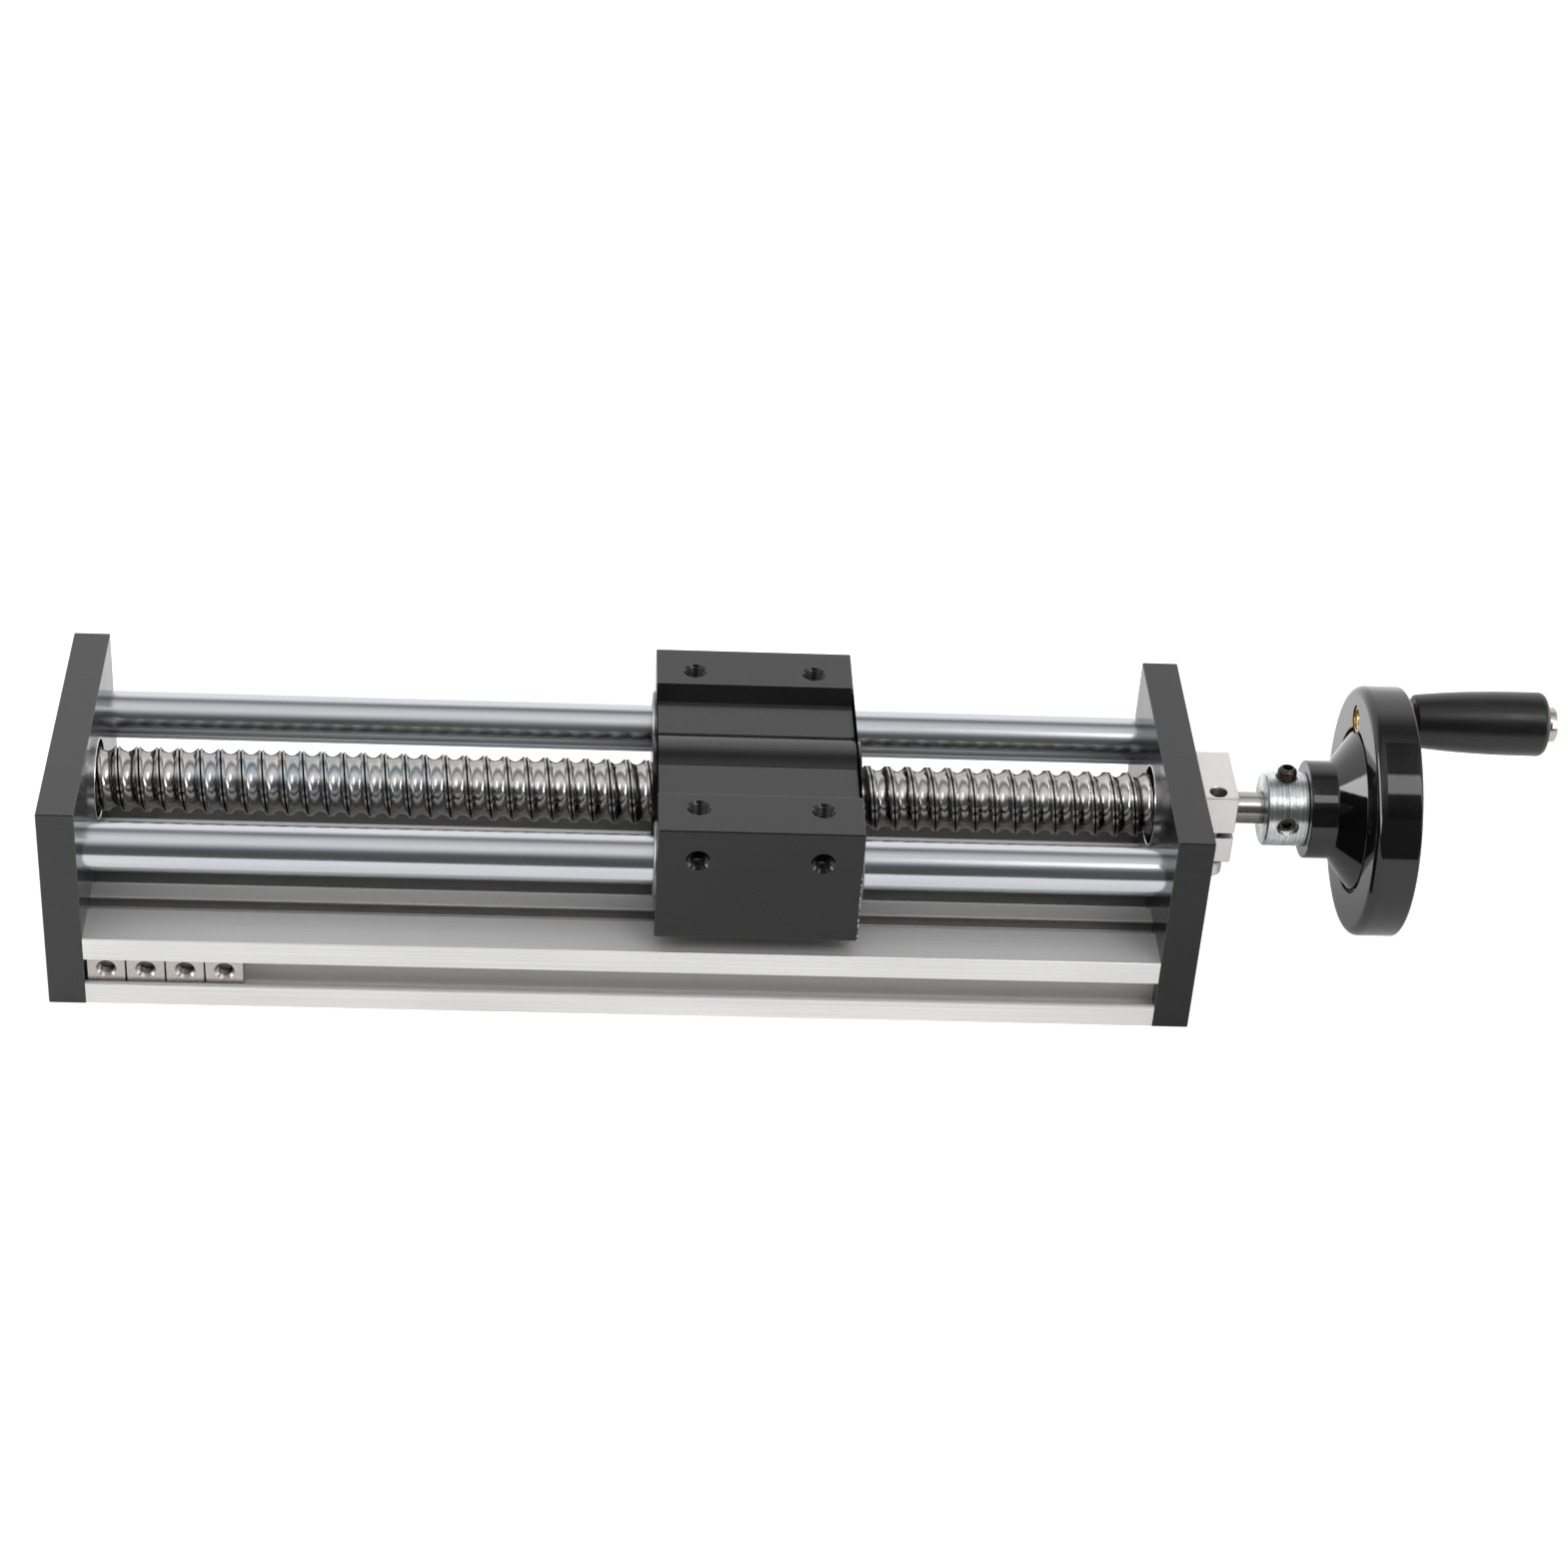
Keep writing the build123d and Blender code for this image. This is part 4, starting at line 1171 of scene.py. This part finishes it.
def sleeve():
    """Zinc plated sleeve with its two set screws."""
    start, hub = SLEEVE_LOW.x, WHEEL_LOW.x
    outer = (SLEEVE_HIGH.z - SLEEVE_LOW.z) / 2
    bore = JOURNAL_R + BORE_PLAY
    profile = [
        (start, bore + 0.5), (start, outer - 0.45), (start + 0.45, outer), (hub - 0.2, outer),
        (hub, outer - 0.2), (hub, SLEEVE_SHANK_R), (SLEEVE_HIGH.x, SLEEVE_SHANK_R),
        (SLEEVE_HIGH.x, bore), (start + 0.5, bore),
    ]
    piece = turned("hub_sleeve_turned", profile)
    origin = Vector(((start + hub) / 2, 0, SHAFT_Z))
    top_way = Vector((0, sin(SET_LEAN), cos(SET_LEAN)))
    front_way = Vector((0, -cos(SET_LEAN), sin(SET_LEAN)))
    thread = (SET_HOLE_CORE, M5_R, M5_PITCH)
    for way in (top_way, front_way):
        surface = origin + way * (outer + 0.15)
        cut(piece, hole_tool("set_hole", surface, -way, thread, outer - JOURNAL_R, 0.5))
    place(piece, "screw", "zinc_steel", "hub_sleeve")

    screws = []
    for way, tip, crest in ((top_way, TOP_TIP_R, 2.45), (front_way, FRONT_TIP_R, 2.1)):
        form = thread_radius(2.0, crest, M5_PITCH)

        def radius_at(along, angle, form=form, tip=tip):
            radius = form(along, angle) if along > bore + 3.0 else min(form(along, angle), 2.1)
            return min(radius, 1.75 + (tip - along), 1.5 + (along - bore))

        screw = threaded("set_screw", radius_at, bore, tip, M5_PITCH, [(bore - 0.001, 0.2)],
                         [(tip + 0.001, 0.2)], 10, 48, origin, way)
        screws.append(cut(screw, hex_tool(origin + way * tip, -way, 1.44, 1.6)))
    place(joined("set_screw_pair", screws), "screw", "black_oxide_steel", "sleeve_set_screws")


def handwheel():
    """Black handwheel: hub, cone, ring groove, flat ring and rounded rim."""
    hub, rim, end = WHEEL_LOW.x, INSERT_LOW.x, WHEEL_HIGH.x
    outer = (WHEEL_HIGH.z - WHEEL_LOW.z) / 2
    groove, recess = rim + RING_GROOVE_DEPTH, end - RECESS_DEPTH
    corners = [
        (hub, WHEEL_BORE_R, 0), (hub, HUB_R, 0.35), (hub + HUB_LENGTH, HUB_R, 0.5), (rim, CONE_R, 0.3),
        (groove, CONE_R, 0.4), (groove, RING_GROOVE_R, 0.4), (rim, RING_GROOVE_R, 0.25), (rim, outer, 2.3),
        (end, outer, 0.8), (end, RECESS_R, 0.6), (recess, RECESS_R, 0.8), (recess, WHEEL_BORE_R, 0),
    ]
    piece = turned("handwheel_polished", rounded(corners, 0, 8), steps=192)
    cut(piece, round_tool("insert_hole", rim - 2, end + 2, INSERT_HOLE_R, HANDLE_Y, HANDLE_Z))
    place(piece, "screw", "wheel_plastic", "handwheel", smooth=28.0)


def insert_and_washer():
    """Threaded insert in the wheel, and the washer on it."""
    start, end = INSERT_LOW.x + INSERT_DROP, INSERT_HIGH.x
    outer = (INSERT_HIGH.z - INSERT_LOW.z) / 2
    profile = [
        (start, INSERT_CORE - 0.6), (start, outer - EASE), (start + EASE, outer),
        (end, outer), (end, INSERT_CORE - 0.6),
    ]
    ring = turned("insert_ring", profile, HANDLE_AXIS)
    thread = (INSERT_CORE, INSERT_CORE + 0.3, INSERT_PITCH)
    depth = INSERT_HIGH.x - INSERT_LOW.x + 1
    cut(ring, hole_tool("insert_thread", (start, HANDLE_Y, HANDLE_Z), ALONG_X, thread, depth, 0.0))
    place(ring, "screw", "insert_brass", "handle_insert")

    washer_r = (WASHER_HIGH.z - WASHER_LOW.z) / 2
    profile = eased(WASHER_LOW.x, WASHER_HIGH.x, WASHER_BORE_R, washer_r, 0.2)
    place(turned("handle_washer_turned", profile, HANDLE_AXIS), "screw", "nickel_steel", "handle_washer")


def handle_bolt():
    """Bolt of the grip with its slotted head."""
    head_r = (BOLT_HIGH.z - BOLT_LOW.z) / 2
    tip, head, end = BOLT_LOW.x, BOLT_HIGH.x - BOLT_HEAD, BOLT_HIGH.x
    core = INSERT_CORE - 0.05
    profile = [
        (tip, 0), (tip, core - 0.5), (tip + 0.5, core), (INSERT_HIGH.x, core),
        (INSERT_HIGH.x, BOLT_SHANK_R), (head, BOLT_SHANK_R), (head, head_r), (end - 0.6, head_r),
        (end - 0.25, head_r - 0.2), (end, head_r - 0.6), (end, 0),
    ]
    bolt = turned("handle_bolt_turned", profile, HANDLE_AXIS)
    middle = Vector((HANDLE_Y, HANDLE_Z))
    run = Vector((cos(BOLT_SLOT_LEAN), sin(BOLT_SLOT_LEAN))) * 2 * head_r
    side = Vector((-sin(BOLT_SLOT_LEAN), cos(BOLT_SLOT_LEAN))) * BOLT_SLOT_WIDTH / 2
    corners = [middle - run - side, middle + run - side, middle + run + side, middle - run + side]
    cut(bolt, extruded("slot", corners, end - BOLT_SLOT_DEPTH, end + 1))
    place(bolt, "screw", "nickel_steel", "handle_bolt")


def grip():
    """Revolving grip that swells towards its outer end."""
    start, end = GRIP_LOW.x, GRIP_HIGH.x
    end_r = (GRIP_HIGH.z - GRIP_LOW.z) / 2
    corners = [(start, GRIP_BORE_R, 0), (start, GRIP_NECK_R, 0.8)]
    for step in range(1, GRIP_STEPS + 1):
        share = step / GRIP_STEPS
        radius = GRIP_NECK_R + (end_r - GRIP_NECK_R) * (1 - (1 - share) ** GRIP_POWER)
        corners.append((start + (end - start) * share * GRIP_BOW, radius, 0))
    corners += [(end, end_r, 1.95), (end, GRIP_BORE_R, 0)]
    piece = turned("grip_barrel", rounded(corners, 0, 10), HANDLE_AXIS)
    place(piece, "grip", "grip_plastic", "handle_grip", smooth=28.0)


def slot_nuts():
    """Four square nuts lying side by side in the front slot."""
    length = NUT_STEP - NUT_GAP
    low, high = SLOT_NUTS_LOW, SLOT_NUTS_HIGH
    nuts = []
    for index in range(4):
        x = low.x + index * NUT_STEP
        nut = block("nut", (x, low.y, low.z), (x + length, high.y, high.z), 0.25)
        middle = (x + length / 2, low.y, (low.z + high.z) / 2)
        nuts.append(cut(nut, hole_tool("thread", middle, (0, 1, 0), M4, NUT_THREAD_DEPTH, 0.5)))
    place(joined("slot_nut_row", nuts), "slot_nuts", "nickel_steel", "slot_nuts")


def dress_cad_nodes():
    """Materials for the CAD nodes whose shape stays as it is."""
    for part in frame["record"]["subparts"]:
        node = frame["nodes"][part["node"]]
        if node.hide_render:
            continue
        node.data.materials.clear()
        node.data.materials.append(MATERIALS[part["material_slot"]])


# Studio


def floor():
    """White floor that keeps the object's shadow and reads white to the camera."""
    mesh = bpy.data.meshes.new("floor")
    size = FLOOR_SIZE
    corners = [(-size, FLOOR_FRONT), (size, FLOOR_FRONT), (size, size), (-size, size)]
    mesh.from_pydata([(x, y, -FLOOR_DROP * MM) for x, y in corners], [], [(0, 1, 2, 3)])
    piece = linked("floor", mesh)
    material = bpy.data.materials.new("floor_white")
    material.use_nodes = True
    tree = Tree(material.node_tree)
    tree.nodes.clear()
    path = tree.add("LightPath").outputs
    mirrored = tree.math("ADD", path["Is Glossy Ray"], path["Is Transmission Ray"], clamp=True)
    # Painted shade round the wheel and painted light behind the object, seen only in mirrors
    x, y, _ = tree.position()
    away = tree.distance(tree.minus(x, FLOOR_SHADE_X), y)
    shading = tree.spread(away, *FLOOR_SHADE), tree.spread(y, *FLOOR_BEHIND)
    mirrored = tree.times(mirrored, FLOOR_MIRRORED, *shading)
    strength = tree.math("MULTIPLY_ADD", path["Is Camera Ray"], FLOOR_GLOW, mirrored)
    diffuse = tree.add("BsdfDiffuse", {"Color": (0.82, 0.82, 0.82)}).outputs[0]
    glow = tree.add("Emission", {"Strength": strength}).outputs[0]
    total = tree.add("AddShader", {0: diffuse, 1: glow}).outputs[0]
    tree.add("OutputMaterial", {"Surface": total})
    piece.data.materials.append(material)


def studio_light():
    """World whose level follows the height around the long axis; the camera sees white."""
    world = bpy.data.worlds.new("studio")
    bpy.context.scene.world = world
    world.use_nodes = True
    tree = Tree(world.node_tree)
    tree.nodes.clear()
    directions = tree.split(tree.add("TexCoord").outputs["Generated"])
    angle = tree.math("ARCTAN2", tree.times(directions[1], -1.0), directions[2])
    share = tree.math("MULTIPLY_ADD", angle, 1 / (2 * pi), 0.5)
    stops = [((degree + 180) / 360, (level, level, level)) for degree, level in STUDIO]

    def seen_share(ranges, strength, soft_x=SOFT):
        for direction, (low, high), soft in zip(directions, ranges, (soft_x, SOFT, SOFT)):
            strength = tree.times(tree.rise(direction, low - soft, low + soft), strength)
            strength = tree.times(tree.fall(direction, high - soft, high + soft), strength)
        return strength

    level = 0.0
    for *ranges, strength in SOFTBOXES:
        level = tree.plus(seen_share(ranges, strength), level)
    sky_level = tree.minus(1.0, seen_share(PANEL, PANEL_TAKES, PANEL_SOFT))
    sky = tree.add("Background", {"Color": tree.ramp(share, stops), "Strength": sky_level}).outputs[0]
    boxes = tree.add("Background", {"Color": SOFTBOX_COLOR, "Strength": level}).outputs[0]
    white = tree.add("Background", {"Color": (1, 1, 1)}).outputs[0]
    lit = tree.add("AddShader", {0: sky, 1: boxes}).outputs[0]
    seen = tree.add("LightPath").outputs["Is Camera Ray"]
    mixed = tree.add("MixShader", {0: seen, 1: lit, 2: white}).outputs[0]
    tree.add("OutputWorld", {"Surface": mixed})


def camera():
    """Camera at the photograph's place and angle."""
    level_run = cos(CAMERA_DROP)
    forward = Vector((-sin(CAMERA_TURN) * level_run, cos(CAMERA_TURN) * level_run, -sin(CAMERA_DROP)))
    level = forward.cross(Vector(UP)).normalized()
    upright = level.cross(forward)
    right = level * cos(CAMERA_ROLL) + upright * sin(CAMERA_ROLL)
    up = upright * cos(CAMERA_ROLL) - level * sin(CAMERA_ROLL)
    lens = bpy.data.cameras.new("camera")
    lens.lens = CAMERA_LENS
    lens.sensor_width = CAMERA_SENSOR
    lens.sensor_fit = "HORIZONTAL"
    lens.clip_start = 0.01
    lens.clip_end = 100
    eye = linked("camera", lens)
    turn = Matrix((right, up, -forward)).transposed().to_4x4()
    eye.matrix_world = Matrix.Translation(Vector(CAMERA_PLACE) * MM) @ turn
    bpy.context.scene.camera = eye


rail()
guide_rods()
ball_screw()
carriage()
nut_and_wipers()
bushes()
bearings()
bore_rings()
plate_screws()
clamp()
sleeve()
handwheel()
insert_and_washer()
handle_bolt()
grip()
slot_nuts()
dress_cad_nodes()
floor()
studio_light()
camera()
bpy.context.scene.view_settings.view_transform = "Standard"
